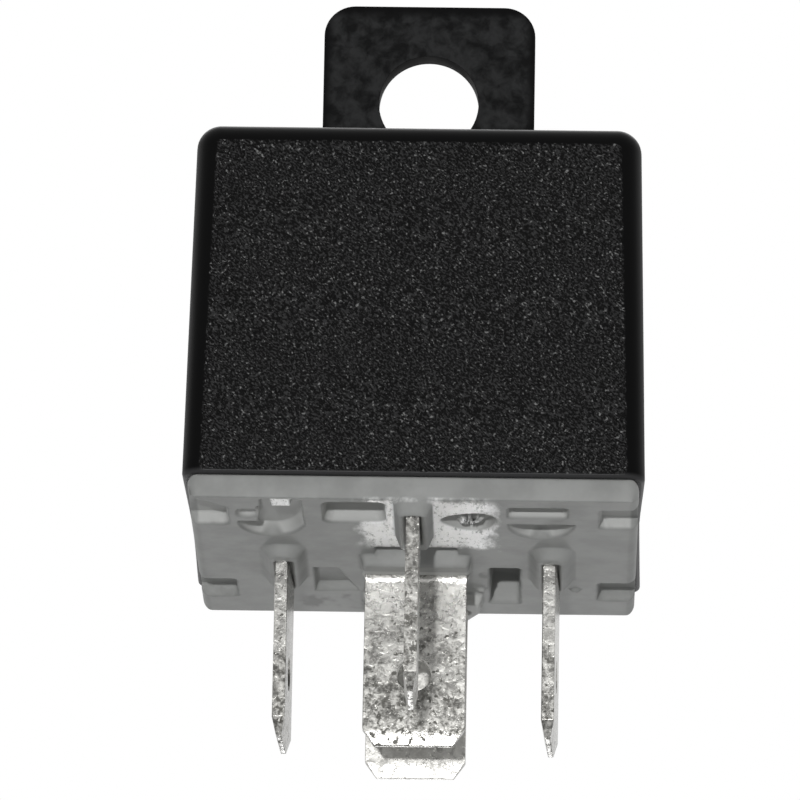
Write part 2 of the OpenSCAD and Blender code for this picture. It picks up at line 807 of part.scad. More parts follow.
module terminal_87() {
    left_x = stem87_x - stem_wide / 2;
    right_x = stem87_x + stem_wide / 2;
    front_y = t87_y - blade_t / 2;
    back_y = t87_y + blade_t / 2;
    tin()
        difference() {
            union() {
                translate([0, t87_y, 0])
                    blade(shoulder_z);
                block([left_x, front_y, shoulder_z - lap], [right_x, back_y, no_arm_z]);
                block([-arm_w / 2, arm_front_y, no_arm_z - blade_t], [right_x, back_y, no_arm_z]);
            }
            contact_hole(no_arm_z - blade_t);
        }
}

module terminal_87a() {
    left_x = -run_x - run_w / 2;
    right_x = -run_x + run_w / 2;
    cross_back_y = run_front_y + run_w / 2;
    arm_back_y = contact_y + arm_w / 2;
    top_z = nc_arm_z + blade_t;
    tin()
        difference() {
            union() {
                translate([0, mid_y, 0])
                    blade(run_top_z);
                block([left_x, run_front_y, run_low_z], [blade_w / 2, cross_back_y, run_top_z]);
                block([left_x, run_front_y, run_low_z], [right_x, run_back_y, run_top_z]);
                block([left_x, run_back_y - blade_t, run_low_z], [right_x, run_back_y, top_z]);
                block([left_x, arm_front_y, nc_arm_z], [right_x, run_back_y, top_z]);
                block([left_x, arm_front_y, nc_arm_z], [arm_w / 2, arm_back_y, top_z]);
            }
            contact_hole(nc_arm_z);
        }
}

// ---- fixed contacts ----

module silver() {
    color([0.82, 0.81, 0.78])
        children();
}

module contact_87() {
    silver()
        translate([0, contact_y, no_arm_z]) {
            cylinder(r1 = contact_r, r2 = contact_face_r, h = fixed_head_h);
            translate([0, 0, -blade_t])
                cylinder(r = contact_shank_r, h = blade_t + lap);
            translate([0, 0, -blade_t - rivet_head_h])
                cylinder(r = rivet_head_r, h = rivet_head_h);
        }
}

module contact_87a() {
    silver()
        translate([0, contact_y, nc_face_z]) {
            cylinder(r1 = contact_face_r, r2 = contact_r, h = fixed_head_h);
            cylinder(r = contact_shank_r, h = fixed_head_h + blade_t);
        }
}

// ---- magnet ----

module iron() {
    color([0.62, 0.62, 0.6])
        children();
}

module yoke() {
    foot_z = plug_top_z;
    foot_x = yoke_foot_w / 2;
    out_y = -yoke_out_y;
    heel_y = out_y + yoke_foot_t;
    heel_z = foot_z + yoke_foot_t;
    iron()
        difference() {
            union() {
                block([-foot_x, heel_y, foot_z], [foot_x, -coil_y + yoke_foot_end, heel_z]);
                block([-yoke_w / 2, out_y, heel_z], [yoke_w / 2, out_y + yoke_leg_t, pole_z]);
                intersection() {
                    translate([-foot_x, heel_y, heel_z])
                        rotate([0, 90, 0])
                            cylinder(r = yoke_foot_t, h = yoke_foot_w);
                    block([-foot_x, out_y, foot_z], [foot_x, heel_y + lap, heel_z + lap]);
                }
            }
            translate([0, -coil_y, foot_z - lap])
                cylinder(r = core_tenon_r + shank_gap, h = yoke_foot_t + 2 * lap);
            blade_slot(0, tongue30_y, blade_t, tongue_w, foot_z - lap, heel_z + lap);
            for (side = [-1, 1])
                translate([side * rivet_x, out_y + yoke_leg_t + lap, yoke_rivet_height])
                    rotate([90, 0, 0])
                        cylinder(r = rivet_r + shank_gap, h = yoke_leg_t + 2 * lap);
        }
}

module core() {
    iron()
        translate([0, -coil_y, plug_top_z]) {
            cylinder(r = core_tenon_r, h = yoke_foot_t + lap);
            translate([0, 0, yoke_foot_t])
                cylinder(r = core_r, h = core_l + lap);
            translate([0, 0, yoke_foot_t + core_l])
                cylinder(r = pole_r, h = pole_t);
        }
}

module bobbin() {
    tube_in_r = core_r + core_gap;
    tube_h = flange_high_z - flange_low_z;
    flange_top = flange_low_z + bobbin_flange_t;
    ear_x = blade_t / 2 + ear_wall;
    ear_y = ear_w / 2;
    color([0.86, 0.84, 0.76])
        difference() {
            union() {
                translate([0, -coil_y, flange_low_z])
                    cylinder(r = tube_in_r + bobbin_wall, h = tube_h);
                translate([0, -coil_y, flange_low_z])
                    cylinder(r = bobbin_r, h = bobbin_flange_t);
                translate([0, -coil_y, flange_high_z - bobbin_flange_t])
                    cylinder(r = bobbin_r, h = bobbin_flange_t);
                block(
                    [-t86_x - ear_x, mid_y - ear_y, flange_low_z],
                    [t85_x + ear_x, mid_y + ear_y, flange_top]
                );
            }
            translate([0, -coil_y, flange_low_z - lap])
                cylinder(r = tube_in_r, h = tube_h + 2 * lap);
            for (x = [t85_x, -t86_x])
                blade_slot(x, mid_y, blade_t, post_w, flange_low_z - lap, flange_top + lap);
        }
}

// a tube around the coil's axis
module coil_tube(r_in, r_out, z_low, z_high) {
    translate([0, -coil_y, z_low])
        difference() {
            cylinder(r = r_out, h = z_high - z_low);
            translate([0, 0, -lap])
                cylinder(r = r_in, h = z_high - z_low + 2 * lap);
        }
}

module winding() {
    wound_r = core_r + core_gap + bobbin_wall + winding_gap;
    z_low = flange_low_z + bobbin_flange_t + winding_gap;
    z_high = flange_high_z - bobbin_flange_t - winding_gap;
    color([0.72, 0.4, 0.2])
        coil_tube(wound_r, winding_r, z_low, z_high);
}

module coil_tape() {
    tape_r = winding_r + winding_gap;
    z_low = flange_low_z + bobbin_flange_t + tape_margin;
    z_high = flange_high_z - bobbin_flange_t - tape_margin;
    color([0.85, 0.65, 0.15])
        coil_tube(tape_r, tape_r + tape_t, z_low, z_high);
}

// a lead wire from the winding to its post at x, with turns around the post
module lead(side, x) {
    turn_r = norm([blade_t, post_top_w]) / 2 + lead_r + slot_gap;
    tape_out_r = winding_r + winding_gap + tape_t + winding_gap + lead_r;
    reach = mid_y + coil_y;
    start_x = sqrt(tape_out_r * tape_out_r - reach * reach);
    lead_z = post_shoulder_z + lead_r + slot_gap;
    color([0.75, 0.42, 0.22]) {
        for (turn = [0:lead_turns - 1])
            translate([side * x, mid_y, lead_z + turn * lead_pitch])
                rotate_extrude()
                    translate([turn_r, 0])
                        circle(r = lead_r);
        translate([side * start_x, mid_y, lead_z])
            rotate([0, side * 90, 0])
                cylinder(r = lead_r, h = x - turn_r - start_x);
    }
}

module lead_85() {
    lead(1, t85_x);
}

module lead_86() {
    lead(-1, t86_x);
}

// ---- armature, drawn closed and then opened about the yoke's edge ----

module opened() {
    translate([0, hinge_y, pole_z])
        rotate([travel_deg, 0, 0])
            translate([0, -hinge_y, -pole_z])
                children();
}

module armature() {
    iron()
        opened()
            difference() {
                translate([-armature_w / 2, 0, 0])
                    rotate([90, 0, 90])
                        linear_extrude(height = armature_w)
                            polygon([
                                [hinge_y, armature_low_z],
                                [armature_end_y, armature_low_z],
                                [armature_end_y, armature_top_z],
                                [hinge_y + armature_chamfer, armature_top_z],
                                [hinge_y, armature_top_z - armature_chamfer]
                            ]);
                for (side = [-1, 1])
                    translate([side * rivet_x, hinge_y + armature_rivet_y, armature_low_z - lap])
                        cylinder(r = rivet_r + shank_gap, h = armature_t + 2 * lap);
            }
}

module leaf_spring() {
    half = leaf_w / 2;
    tip_x = leaf_tip_w / 2;
    bend_y = -yoke_out_y + leaf_bend_r;
    bend_z = armature_top_z - leaf_bend_r;
    bend_out_y = bend_y - leaf_bend_r - leaf_t;
    tip_y = contact_y + leaf_overhang;
    joint_y = armature_end_y - lap;
    drop_z = pole_z - leaf_drop;
    color([0.78, 0.6, 0.36]) {
        opened()
            difference() {
                union() {
                    intersection() {
                        translate([-half, bend_y, bend_z])
                            rotate([0, 90, 0])
                                cylinder(r = leaf_bend_r + leaf_t, h = leaf_w);
                        block([-half, bend_out_y, bend_z], [half, bend_y, leaf_top_z]);
                    }
                    block(
                        [-half, bend_y - lap, armature_top_z],
                        [half, armature_end_y, leaf_top_z]
                    );
                    block([-tip_x, joint_y, armature_top_z], [tip_x, tip_y, leaf_top_z]);
                }
                translate([-half - lap, bend_y, bend_z])
                    rotate([0, 90, 0])
                        cylinder(r = leaf_bend_r, h = leaf_w + 2 * lap);
                translate([0, contact_y, armature_top_z - lap])
                    cylinder(r = contact_shank_r + shank_gap, h = leaf_t + 2 * lap);
                for (side = [-1, 1])
                    translate([side * rivet_x, hinge_y + armature_rivet_y, armature_top_z - lap])
                        cylinder(r = rivet_r + shank_gap, h = leaf_t + 2 * lap);
            }
        difference() {
            block(
                [-half, -yoke_out_y - leaf_t, drop_z],
                [half, -yoke_out_y, bend_z + leaf_t / 2]
            );
            for (side = [-1, 1])
                translate([side * rivet_x, -yoke_out_y + lap, yoke_rivet_height])
                    rotate([90, 0, 0])
                        cylinder(r = rivet_r + shank_gap, h = leaf_t + 2 * lap);
        }
    }
}

module moving_contact() {
    silver()
        opened()
            translate([0, contact_y, 0]) {
                translate([0, 0, armature_top_z - lower_head_h])
                    cylinder(r1 = contact_face_r, r2 = contact_r, h = lower_head_h);
                translate([0, 0, armature_top_z - lap])
                    cylinder(r = contact_shank_r, h = leaf_t + 2 * lap);
                translate([0, 0, leaf_top_z])
                    cylinder(r1 = contact_r, r2 = contact_face_r, h = upper_head_h);
            }
}

module armature_rivet(side) {
    iron()
        opened()
            translate([side * rivet_x, hinge_y + armature_rivet_y, 0]) {
                translate([0, 0, armature_low_z + shank_gap])
                    cylinder(r = rivet_r, h = armature_t + leaf_t);
                translate([0, 0, leaf_top_z])
                    cylinder(r = rivet_head_r, h = rivet_head_h);
            }
}

module armature_rivet_left() {
    armature_rivet(-1);
}

module armature_rivet_right() {
    armature_rivet(1);
}

module yoke_rivet(side) {
    iron()
        translate([side * rivet_x, -yoke_out_y - leaf_t, yoke_rivet_height])
            rotate([-90, 0, 0]) {
                translate([0, 0, -rivet_head_h])
                    cylinder(r = rivet_head_r, h = rivet_head_h);
                translate([0, 0, -lap])
                    cylinder(r = rivet_r, h = leaf_t + yoke_leg_t + 2 * lap);
                translate([0, 0, leaf_t + yoke_leg_t])
                    cylinder(r = rivet_head_r, h = rivet_head_h);
            }
}

module yoke_rivet_left() {
    yoke_rivet(-1);
}

module yoke_rivet_right() {
    yoke_rivet(1);
}

cover();
base();
terminal_30();
terminal_85();
terminal_86();
terminal_87();
terminal_87a();
contact_87();
contact_87a();
yoke();
core();
bobbin();
winding();
coil_tape();
lead_85();
lead_86();
armature();
leaf_spring();
moving_contact();
armature_rivet_left();
armature_rivet_right();
yoke_rivet_left();
yoke_rivet_right();
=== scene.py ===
"""Looks of the automotive changeover relay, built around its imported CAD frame.
"""

import json
import math

import bmesh
import bpy
import numpy as np
from mathutils import Matrix, Vector, noise


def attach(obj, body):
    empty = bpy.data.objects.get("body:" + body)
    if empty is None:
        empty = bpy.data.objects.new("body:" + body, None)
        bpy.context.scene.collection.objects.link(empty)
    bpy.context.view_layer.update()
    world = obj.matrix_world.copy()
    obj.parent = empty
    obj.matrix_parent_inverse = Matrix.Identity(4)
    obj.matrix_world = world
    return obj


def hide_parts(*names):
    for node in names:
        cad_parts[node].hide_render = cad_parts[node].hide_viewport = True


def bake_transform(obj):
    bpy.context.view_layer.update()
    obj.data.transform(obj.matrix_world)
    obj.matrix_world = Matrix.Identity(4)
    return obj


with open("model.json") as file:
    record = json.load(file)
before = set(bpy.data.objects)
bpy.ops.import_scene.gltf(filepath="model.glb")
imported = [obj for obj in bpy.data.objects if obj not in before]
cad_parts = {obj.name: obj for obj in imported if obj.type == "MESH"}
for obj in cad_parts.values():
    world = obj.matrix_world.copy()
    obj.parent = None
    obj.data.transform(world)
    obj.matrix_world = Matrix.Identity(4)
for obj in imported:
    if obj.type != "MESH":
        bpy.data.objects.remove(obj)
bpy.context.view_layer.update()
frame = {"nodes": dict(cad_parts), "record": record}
MM = 0.001
WHITE = (1.0, 1.0, 1.0, 1.0)


# ---- node helpers ----

class Nodes:
    """Short calls for the nodes of one tree."""

    def __init__(self, tree):
        self.tree = tree

    def add(self, kind, **settings):
        node = self.tree.nodes.new(kind)
        for key, value in settings.items():
            setattr(node, key, value)
        return node

    def link(self, source, target):
        """Links a socket to the target, or gives the target a plain value."""
        if isinstance(source, (int, float, tuple)):
            target.default_value = source
        else:
            self.tree.links.new(source, target)

    def math(self, operation, a, b=0.0):
        node = self.add("ShaderNodeMath", operation=operation)
        self.link(a, node.inputs[0])
        self.link(b, node.inputs[1])
        return node.outputs[0]

    def times(self, product, *factors):
        for factor in factors:
            product = self.math("MULTIPLY", product, factor)
        return product

    def span(self, fac, low, high, to_low=0.0, to_high=1.0):
        """A smooth step from to_low to to_high while fac goes from low to high."""
        node = self.add("ShaderNodeMapRange", interpolation_type="SMOOTHSTEP")
        self.link(fac, node.inputs["Value"])
        node.inputs["From Min"].default_value = low
        node.inputs["From Max"].default_value = high
        node.inputs["To Min"].default_value = to_low
        node.inputs["To Max"].default_value = to_high
        return node.outputs[0]

    def seen(self):
        """1 for camera, glossy and transmission rays, which all see the white background."""
        paths = self.add("ShaderNodeLightPath")
        seen = paths.outputs["Is Camera Ray"]
        for kind in ("Is Glossy Ray", "Is Transmission Ray"):
            seen = self.math("MAXIMUM", seen, paths.outputs[kind])
        return seen

    def show(self, output, fac, first, second):
        """Sends a mix of two shaders to the output."""
        mix = self.add("ShaderNodeMixShader")
        self.link(fac, mix.inputs[0])
        self.link(first.outputs[0], mix.inputs[1])
        self.link(second.outputs[0], mix.inputs[2])
        self.link(mix.outputs[0], output.inputs["Surface"])


class Shader(Nodes):
    """A Principled material; color and rough are its plain values, which set() can vary."""

    def __init__(self, name, color, rough, metallic=0.0, spec=0.5):
        self.mat = bpy.data.materials.new(name)
        self.mat.use_nodes = True
        super().__init__(self.mat.node_tree)
        self.bsdf = self.tree.nodes["Principled BSDF"]
        self.bsdf.inputs["Base Color"].default_value = (*color, 1.0)
        self.bsdf.inputs["Roughness"].default_value = rough
        self.bsdf.inputs["Metallic"].default_value = metallic
        self.bsdf.inputs["Specular IOR Level"].default_value = spec
        self.coords = self.add("ShaderNodeTexCoord").outputs["Object"]

    def split(self, vector):
        """The x, y and z of a vector."""
        node = self.add("ShaderNodeSeparateXYZ")
        self.link(vector, node.inputs[0])
        return list(node.outputs)

    def stretched(self, scale, vector=None):
        node = self.add("ShaderNodeVectorMath", operation="MULTIPLY")
        self.link(vector or self.coords, node.inputs[0])
        self.link(scale, node.inputs[1])
        return node.outputs[0]

    def noise(self, size, detail=2.0, rough=0.5, distortion=0.0, vector=None):
        node = self.add("ShaderNodeTexNoise")
        self.link(vector or self.coords, node.inputs["Vector"])
        node.inputs["Scale"].default_value = 1.0 / size
        node.inputs["Detail"].default_value = detail
        node.inputs["Roughness"].default_value = rough
        node.inputs["Distortion"].default_value = distortion
        return node.outputs["Fac"]

    def ramp(self, fac, *stops):
        node = self.add("ShaderNodeValToRGB")
        self.link(fac, node.inputs[0])
        ramp = node.color_ramp
        while len(ramp.elements) < len(stops):
            ramp.elements.new(0.5)
        for element, (place, color) in zip(ramp.elements, stops):
            element.position = place
            element.color = (*color, 1.0)
        return node.outputs[0]

    def mix(self, fac, a, b):
        """From a to b; a plain one is a tuple of three."""
        node = self.add("ShaderNodeMix", data_type="RGBA")
        self.link(fac, node.inputs["Factor"])
        for value, socket in ((a, node.inputs[6]), (b, node.inputs[7])):
            self.link((*value, 1.0) if isinstance(value, tuple) else value, socket)
        return node.outputs[2]

    def bump(self, height, distance, strength=1.0):
        node = self.add("ShaderNodeBump")
        self.link(height, node.inputs["Height"])
        node.inputs["Distance"].default_value = distance
        self.link(strength, node.inputs["Strength"])
        return node.outputs[0]

    def facing(self):
        """How far a face looks along x, y and z, each from 0 to 1."""
        geometry = self.add("ShaderNodeNewGeometry")
        return [self.math("ABSOLUTE", part) for part in self.split(geometry.outputs["Normal"])]

    def set(self, **sockets):
        """Links inputs of the shader, such as base_color, and returns the material."""
        for name, source in sockets.items():
            self.link(source, self.bsdf.inputs[name.replace("_", " ").title()])
        return self.mat


# ---- materials ----

def box_mask(s, low, high, soft, ragged=0.0, soft_z=0.1):
    """1 inside a box given in millimetres, with a soft and ragged edge."""
    x, y, z = s.split(s.coords)
    uneven = s.noise(0.0011, detail=4.0, rough=0.65, vector=s.stretched((1.0, 0.4, 1.0)))
    wobble = s.times(s.math("SUBTRACT", uneven, 0.5), ragged * MM)
    places = (s.math("ADD", x, wobble), s.math("ADD", y, wobble), z)
    mask = 1.0
    for place, reach, start, end in zip(places, (soft, soft, soft_z), low, high):
        mask = s.times(mask, s.span(place, (start - reach) * MM, (start + reach) * MM))
        mask = s.times(mask, s.span(place, (end - reach) * MM, (end + reach) * MM, 1.0, 0.0))
    return mask


def cover_face_material():
    """Spark texture on the flat faces, fading out raggedly on the smooth rounded edges; its grain is painted
    with light ridges, dark hollows and bright glints as painted highlight and painted shade, and the rim's
    lowest edge carries a painted highlight.
    """
    # hollow and ridge colour the grain's hollows and ridges as painted shade and painted highlight; spark is
    # the colour of painted glints
    hollow, ridge_painted_highlight, painted_glint = (0.0002, 0.0002, 0.0002), (0.031, 0.031, 0.0315), (0.2, 0.202, 0.2)
    # rim_painted_highlight is a painted highlight along the lowest edge of the rim
    smooth, rim_painted_highlight = (0.0006, 0.0006, 0.0007), (0.035, 0.035, 0.036)
    smooth_rough, side_rough = (0.3, 0.3, 0.3), (0.48, 0.48, 0.48)
    rim_low, rim_high = 0.0015, 0.00185
    grain_turn = (0.0, math.radians(48), 0.0)

    s = Shader("spark_textured_moulding", (0.006, 0.006, 0.0065), 0.3, spec=0.06)
    facing_x, facing_y, facing_z = s.facing()
    flatness = s.math("MAXIMUM", s.math("MAXIMUM", facing_x, facing_y), facing_z)
    ragged = s.times(s.math("SUBTRACT", s.noise(0.0004), 0.5), 0.04)
    textured = s.span(s.math("ADD", flatness, ragged), 0.978, 0.995)
    side = s.span(facing_x, 0.6, 0.95)
    rim = s.span(s.split(s.coords)[2], rim_low, rim_high, 1.0, 0.0)

    turned = s.add("ShaderNodeMapping")
    s.link(s.coords, turned.inputs["Vector"])
    turned.inputs["Rotation"].default_value = grain_turn
    drawn_out = s.stretched((1.0, 1.0, 0.6), turned.outputs[0])
    grain = s.noise(0.00011, rough=0.6, distortion=0.3, vector=drawn_out)
    height = s.times(grain, s.span(s.noise(0.0022), 0.3, 0.7, 0.7, 1.2))
    ridges = s.span(grain, 0.46, 0.62)
    # specks of painted glint on the ridges
    painted_glint_mask = s.times(ridges, s.span(s.noise(0.00019, detail=1.0), 0.6, 0.7))

    # the grain's colour: painted shade, painted highlight and painted glints
    grain_painted_light = s.mix(painted_glint_mask, s.mix(ridges, hollow, ridge_painted_highlight), painted_glint)
    face_rough = s.span(s.noise(0.0003), 0.35, 0.65, 0.32, 0.44)
    above_rim = s.times(textured, s.span(rim, 0.0, 1.0, 1.0, 0.0))
    strength = s.times(s.span(textured, 0.0, 1.0, 0.05, 1.0), s.span(side, 0.0, 1.0, 1.0, 0.4))
    return s.set(
        base_color=s.mix(above_rim, s.mix(rim, smooth, rim_painted_highlight), grain_painted_light),
        roughness=s.mix(side, s.mix(textured, smooth_rough, face_rough), side_rough),
        normal=s.bump(height, 0.00009, strength),
    )


def cover_edge_material():
    """Smooth black moulding, with paler blotches on the two faces of the tab."""
    black = (0.003, 0.003, 0.0032)
    blotch_low, blotch_high = (0.0065, 0.0066, 0.0068), (0.028, 0.0285, 0.029)
    s = Shader("smooth_moulding", black, 0.3, spec=0.05)
    blotch = s.noise(0.0009, detail=3.0, rough=0.6, distortion=0.3)
    fine = s.noise(0.00035)
    on_tab = box_mask(s, (-6.3, 11.0, 24.6), (6.5, 14.0, 39.4), 0.35, 0.3, 0.4)
    return s.set(
        base_color=s.mix(on_tab, black, s.mix(s.span(blotch, 0.32, 0.7), blotch_low, blotch_high)),
        roughness=s.span(blotch, 0.3, 0.7, 0.26, 0.4),
        normal=s.bump(s.math("ADD", fine, blotch), 0.00002, s.span(on_tab, 0.0, 1.0, 0.35, 1.0)),
    )


def base_material():
    """Cloudy grey moulding with bright patches that are glossier and painted with highlight, pockets and
    collars painted paler as painted light, and dark blotches of painted shadow beside terminal 87.
    """
    cloud_low, cloud_high = (0.248, 0.253, 0.246), (0.305, 0.31, 0.303)
    # greys up to near white for the patches: a painted highlight that stands in for the reflection of the lamp
    # behind
    highlight_greys = ((0.39, (0.4, 0.405, 0.4)), (0.46, (0.92, 0.93, 0.92)), (0.52, (0.99, 0.99, 0.99)))
    # painted_fill_grey is painted light for the pockets and collars; painted_shadow_grey and shadow_share are
    # painted shadow
    painted_fill_grey, painted_shadow_grey, shadow_share = (0.43, 0.435, 0.425), (0.1, 0.1, 0.095), 0.8

    s = Shader("base_moulding", (0.3, 0.305, 0.3), 0.5, spec=0.2)
    # the patches are glossier and are also painted with highlight
    patch = box_mask(s, (-3.0, -13.3, -0.12), (4.6, -2.6, 0.12), 0.7, 3.0)
    small_patch = box_mask(s, (-8.6, -13.4, -0.12), (-7.4, -11.6, 0.12), 0.15, 0.4)
    gloss_and_painted_highlight = s.math("MAXIMUM", patch, small_patch)
    # where the front pockets and the collars of terminals 87a and 87 are painted paler, as painted light
    # against their shade
    sunken = box_mask(s, (-13.2, -13.2, 0.15), (13.2, -5.0, 1.6), 0.1)
    collar = box_mask(s, (-4.2, 0.6, -2.0), (4.2, 12.0, -0.12), 0.1)
    # the area left of terminal 87's collar, painted with dark blotches of painted shadow where the blades'
    # shadows fall
    shadow_area = box_mask(s, (-7.2, 9.2, -1.0), (-2.8, 12.4, 3.0), 0.5, 2.5)

    cloud = s.noise(0.0035, detail=4.0, rough=0.6)
    shadow_noise = s.noise(0.0016, vector=s.stretched((1.0, 0.5, 1.0)))
    along = s.stretched((1.0, 0.3, 1.0))
    speckle = s.noise(0.00022, detail=3.0, rough=0.75, vector=along)
    wide_speckle = s.noise(0.0009, vector=along)
    grain = s.noise(0.00022)

    # painted highlight: speckled greys up to near white
    patch_painted_highlight = s.ramp(s.math("ADD", s.times(speckle, 0.7), s.times(wide_speckle, 0.3)), *highlight_greys)
    colour = s.mix(s.span(cloud, 0.35, 0.65), cloud_low, cloud_high)
    # painted light in the pockets and on the collars
    colour = s.mix(s.math("MAXIMUM", sunken, collar), colour, painted_fill_grey)
    colour = s.mix(gloss_and_painted_highlight, colour, patch_painted_highlight)
    # painted shadow
    painted_shadows = s.times(shadow_area, s.span(shadow_noise, 0.46, 0.6), shadow_share)
    return s.set(
        base_color=s.mix(painted_shadows, colour, painted_shadow_grey),
        roughness=s.span(s.math("ADD", gloss_and_painted_highlight, s.times(cloud, 0.1)), 0.1, 1.0, 0.52, 0.3),
        normal=s.bump(s.mix(gloss_and_painted_highlight, s.times(grain, 0.15), speckle), 0.00004),
    )


def tin_material(name, pale, worn, rough, most=1.0):
    """Tin with tarnish and pits that grow towards the tips and are fewer on the flanks, whose clean tone is
    painted darker as painted shade; bright dots are painted glints.

    pale is the clean tone; worn and most are the least and the most tarnish.
    """
    greys = ((0.4, (0.09, 0.088, 0.082)), (0.48, (0.21, 0.207, 0.195)), (0.58, (0.42, 0.415, 0.395)))
    # painted_flank_shade is painted shade on faces looking along x; painted_glint_tone is the colour of painted
    # glints
    painted_flank_shade, pit_tone, painted_glint_tone = (0.4, 0.395, 0.375), (0.1, 0.098, 0.09), (0.82, 0.81, 0.77)
    tip_z, root_z, tip_wear = -0.0115, -0.001, 0.42
    swell_low, swell_high, swell_wave = -0.00088, -0.00055, 0.0006
    pit_rough, rough_spread = (0.6, 0.6, 0.6), 0.04

    s = Shader(name, (0.5, 0.49, 0.46), 0.32, metallic=1.0)
    height_z = s.split(s.coords)[2]
    blotch = s.noise(0.0006, detail=4.0, rough=0.65, distortion=0.4)
    speck = s.noise(0.00022, rough=0.6)
    tarnish = s.noise(0.0022, detail=3.0)
    down = s.span(height_z, tip_z, root_z, tip_wear, 0.0)
    flank = s.span(s.facing()[0], 0.5, 0.9)
    calm = s.span(flank, 0.0, 1.0, 1.0, 0.4)

    amount = s.times(s.span(s.math("ADD", tarnish, down), 0.42, 0.86, worn, most), calm)
    tone = s.ramp(s.math("ADD", s.times(blotch, 0.6), s.times(speck, 0.4)), *greys)
    # the flanks' clean tone painted darker: painted shade
    clean = s.mix(flank, (pale, pale * 0.99, pale * 0.95), painted_flank_shade)
    worn_spots = s.math("ADD", s.noise(0.0004, detail=3.0, rough=0.6), s.times(down, 0.2))
    pits = s.times(s.span(worn_spots, 0.62, 0.7, 0.0, most), calm)
    # bright dots: painted glints, also raised by the bump
    dots = s.span(speck, 0.62, 0.68)

    by_collar = box_mask(s, (-3.3, 1.0, -1.6), (3.3, 12.0, 0.0), 0.2)
    wavy = s.math("ADD", height_z, s.times(blotch, swell_wave))
    swell = s.times(s.span(wavy, swell_low, swell_high), by_collar)
    height = s.math("ADD", s.math("ADD", s.times(blotch, 0.8), dots), swell)
    whole_rough = s.span(blotch, 0.35, 0.65, rough - rough_spread, rough + rough_spread)
    return s.set(
        base_color=s.mix(dots, s.mix(pits, s.mix(amount, clean, tone), pit_tone), painted_glint_tone),
        roughness=s.mix(pits, whole_rough, pit_rough),
        normal=s.bump(height, 0.00004),
    )


def metal_material(name, dark, light, rough, stretch=(1.0, 1.0, 1.0)):
    """Metal with a fine grain, drawn out along the axes where stretch is small."""
    s = Shader(name, light, rough, metallic=1.0)
    grain = s.noise(0.0006, detail=4.0, rough=0.6, vector=s.stretched(stretch))
    return s.set(
        base_color=s.mix(s.span(grain, 0.3, 0.7), dark, light),
        roughness=s.span(grain, 0.3, 0.7, rough - 0.07, rough + 0.1),
        normal=s.bump(grain, 0.00001),
    )


def plain_material(name, dark, light, rough, spec=0.4):
    """Cloudy plastic or film with a very fine grain."""
    s = Shader(name, light, rough, spec=spec)
    cloud = s.noise(0.002, detail=3.0)
    return s.set(
        base_color=s.mix(cloud, dark, light),
        roughness=s.span(cloud, 0.3, 0.7, rough - 0.06, rough + 0.08),
        normal=s.bump(s.noise(0.0002), 0.00001),
    )


def wound_material():
    """Enamelled copper wire, with its turns as fine rings about z."""
    wire_pitch = 0.00016
    s = Shader("enamelled_wire", (0.55, 0.2, 0.07), 0.28, metallic=1.0)
    turns = s.math("SINE", s.times(s.split(s.coords)[2], 2 * math.pi / wire_pitch))
    cloud = s.noise(0.0015)
    return s.set(
        base_color=s.mix(cloud, (0.42, 0.13, 0.04), (0.66, 0.27, 0.1)),
        roughness=s.span(cloud, 0.3, 0.7, 0.22, 0.36),
        normal=s.bump(turns, 0.00004),
    )


ROLLED_ALONG_Z, ROLLED_ALONG_Y = (1.0, 1.0, 0.2), (1.0, 0.1, 1.0)
MATERIALS = {
    "cover_plastic": cover_face_material(),
    "base_plastic": base_material(),
    "terminal_tin": tin_material("tin_plate", 0.56, 0.15, 0.28),
    "contact_silver": metal_material("contact_silver", (0.7, 0.69, 0.65), (0.88, 0.87, 0.84), 0.22),
    "magnet_iron": metal_material("magnet_iron", (0.4, 0.4, 0.38), (0.6, 0.6, 0.57), 0.32, ROLLED_ALONG_Z),
    "bobbin_plastic": plain_material("bobbin_moulding", (0.62, 0.58, 0.46), (0.74, 0.7, 0.58), 0.42),
    "copper_wire": wound_material(),
    "coil_tape": plain_material("film_tape", (0.6, 0.36, 0.04), (0.75, 0.48, 0.07), 0.2, spec=0.5),
    "spring_bronze": metal_material("rolled_bronze", (0.5, 0.33, 0.15), (0.7, 0.5, 0.26), 0.26, ROLLED_ALONG_Y),
    "rivet_steel": metal_material("rivet_steel", (0.42, 0.42, 0.42), (0.6, 0.6, 0.6), 0.3),
}
EDGE_MATERIAL = cover_edge_material()
LIP_MATERIAL = plain_material(
    "matt_moulding", (0.003, 0.003, 0.003), (0.008, 0.008, 0.008), 0.55, spec=0.02
)
# terminal_30's tin is darker and more worn than the rest; terminal_87's is painted paler, as painted light
# where terminal_87a's shade falls on it
TIN_OF = {
    "terminal_30": tin_material("worn_tin_plate", 0.15, 0.65, 0.29),
    "terminal_87": tin_material("fill_lit_tin_plate", 0.72, 0.0, 0.42, 0.4),
}

SLOT_OF = {entry["node"]: entry["material_slot"] for entry in frame["record"]["subparts"]}
for node_name, node_object in frame["nodes"].items():
    node_object.data.materials.clear()
    node_object.data.materials.append(MATERIALS[SLOT_OF[node_name]])


# ---- mesh helpers ----

WELD = 1e-7  # metres


def add_object(name, data):
    made = bpy.data.objects.new(name, data)
    bpy.context.collection.objects.link(made)
    return made


def put_piece(name, mesh, slot, *replaced, body="housing"):
    """A piece in place of CAD nodes, attached to a body unless body is None."""
    piece = add_object(name, mesh)
    mesh.materials.clear()
    mesh.materials.append(MATERIALS[slot])
    if body:
        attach(piece, body)
    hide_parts(*replaced)
    return piece


def baked(mesh, kind, **settings):
    """The mesh after one modifier."""
    holder = add_object("holder", mesh)
    modifier = holder.modifiers.new(kind, kind)
    for key, value in settings.items():
        setattr(modifier, key, value)
    graph = bpy.context.evaluated_depsgraph_get()
    result = bpy.data.meshes.new_from_object(holder.evaluated_get(graph))
    bpy.data.objects.remove(holder)
    return result


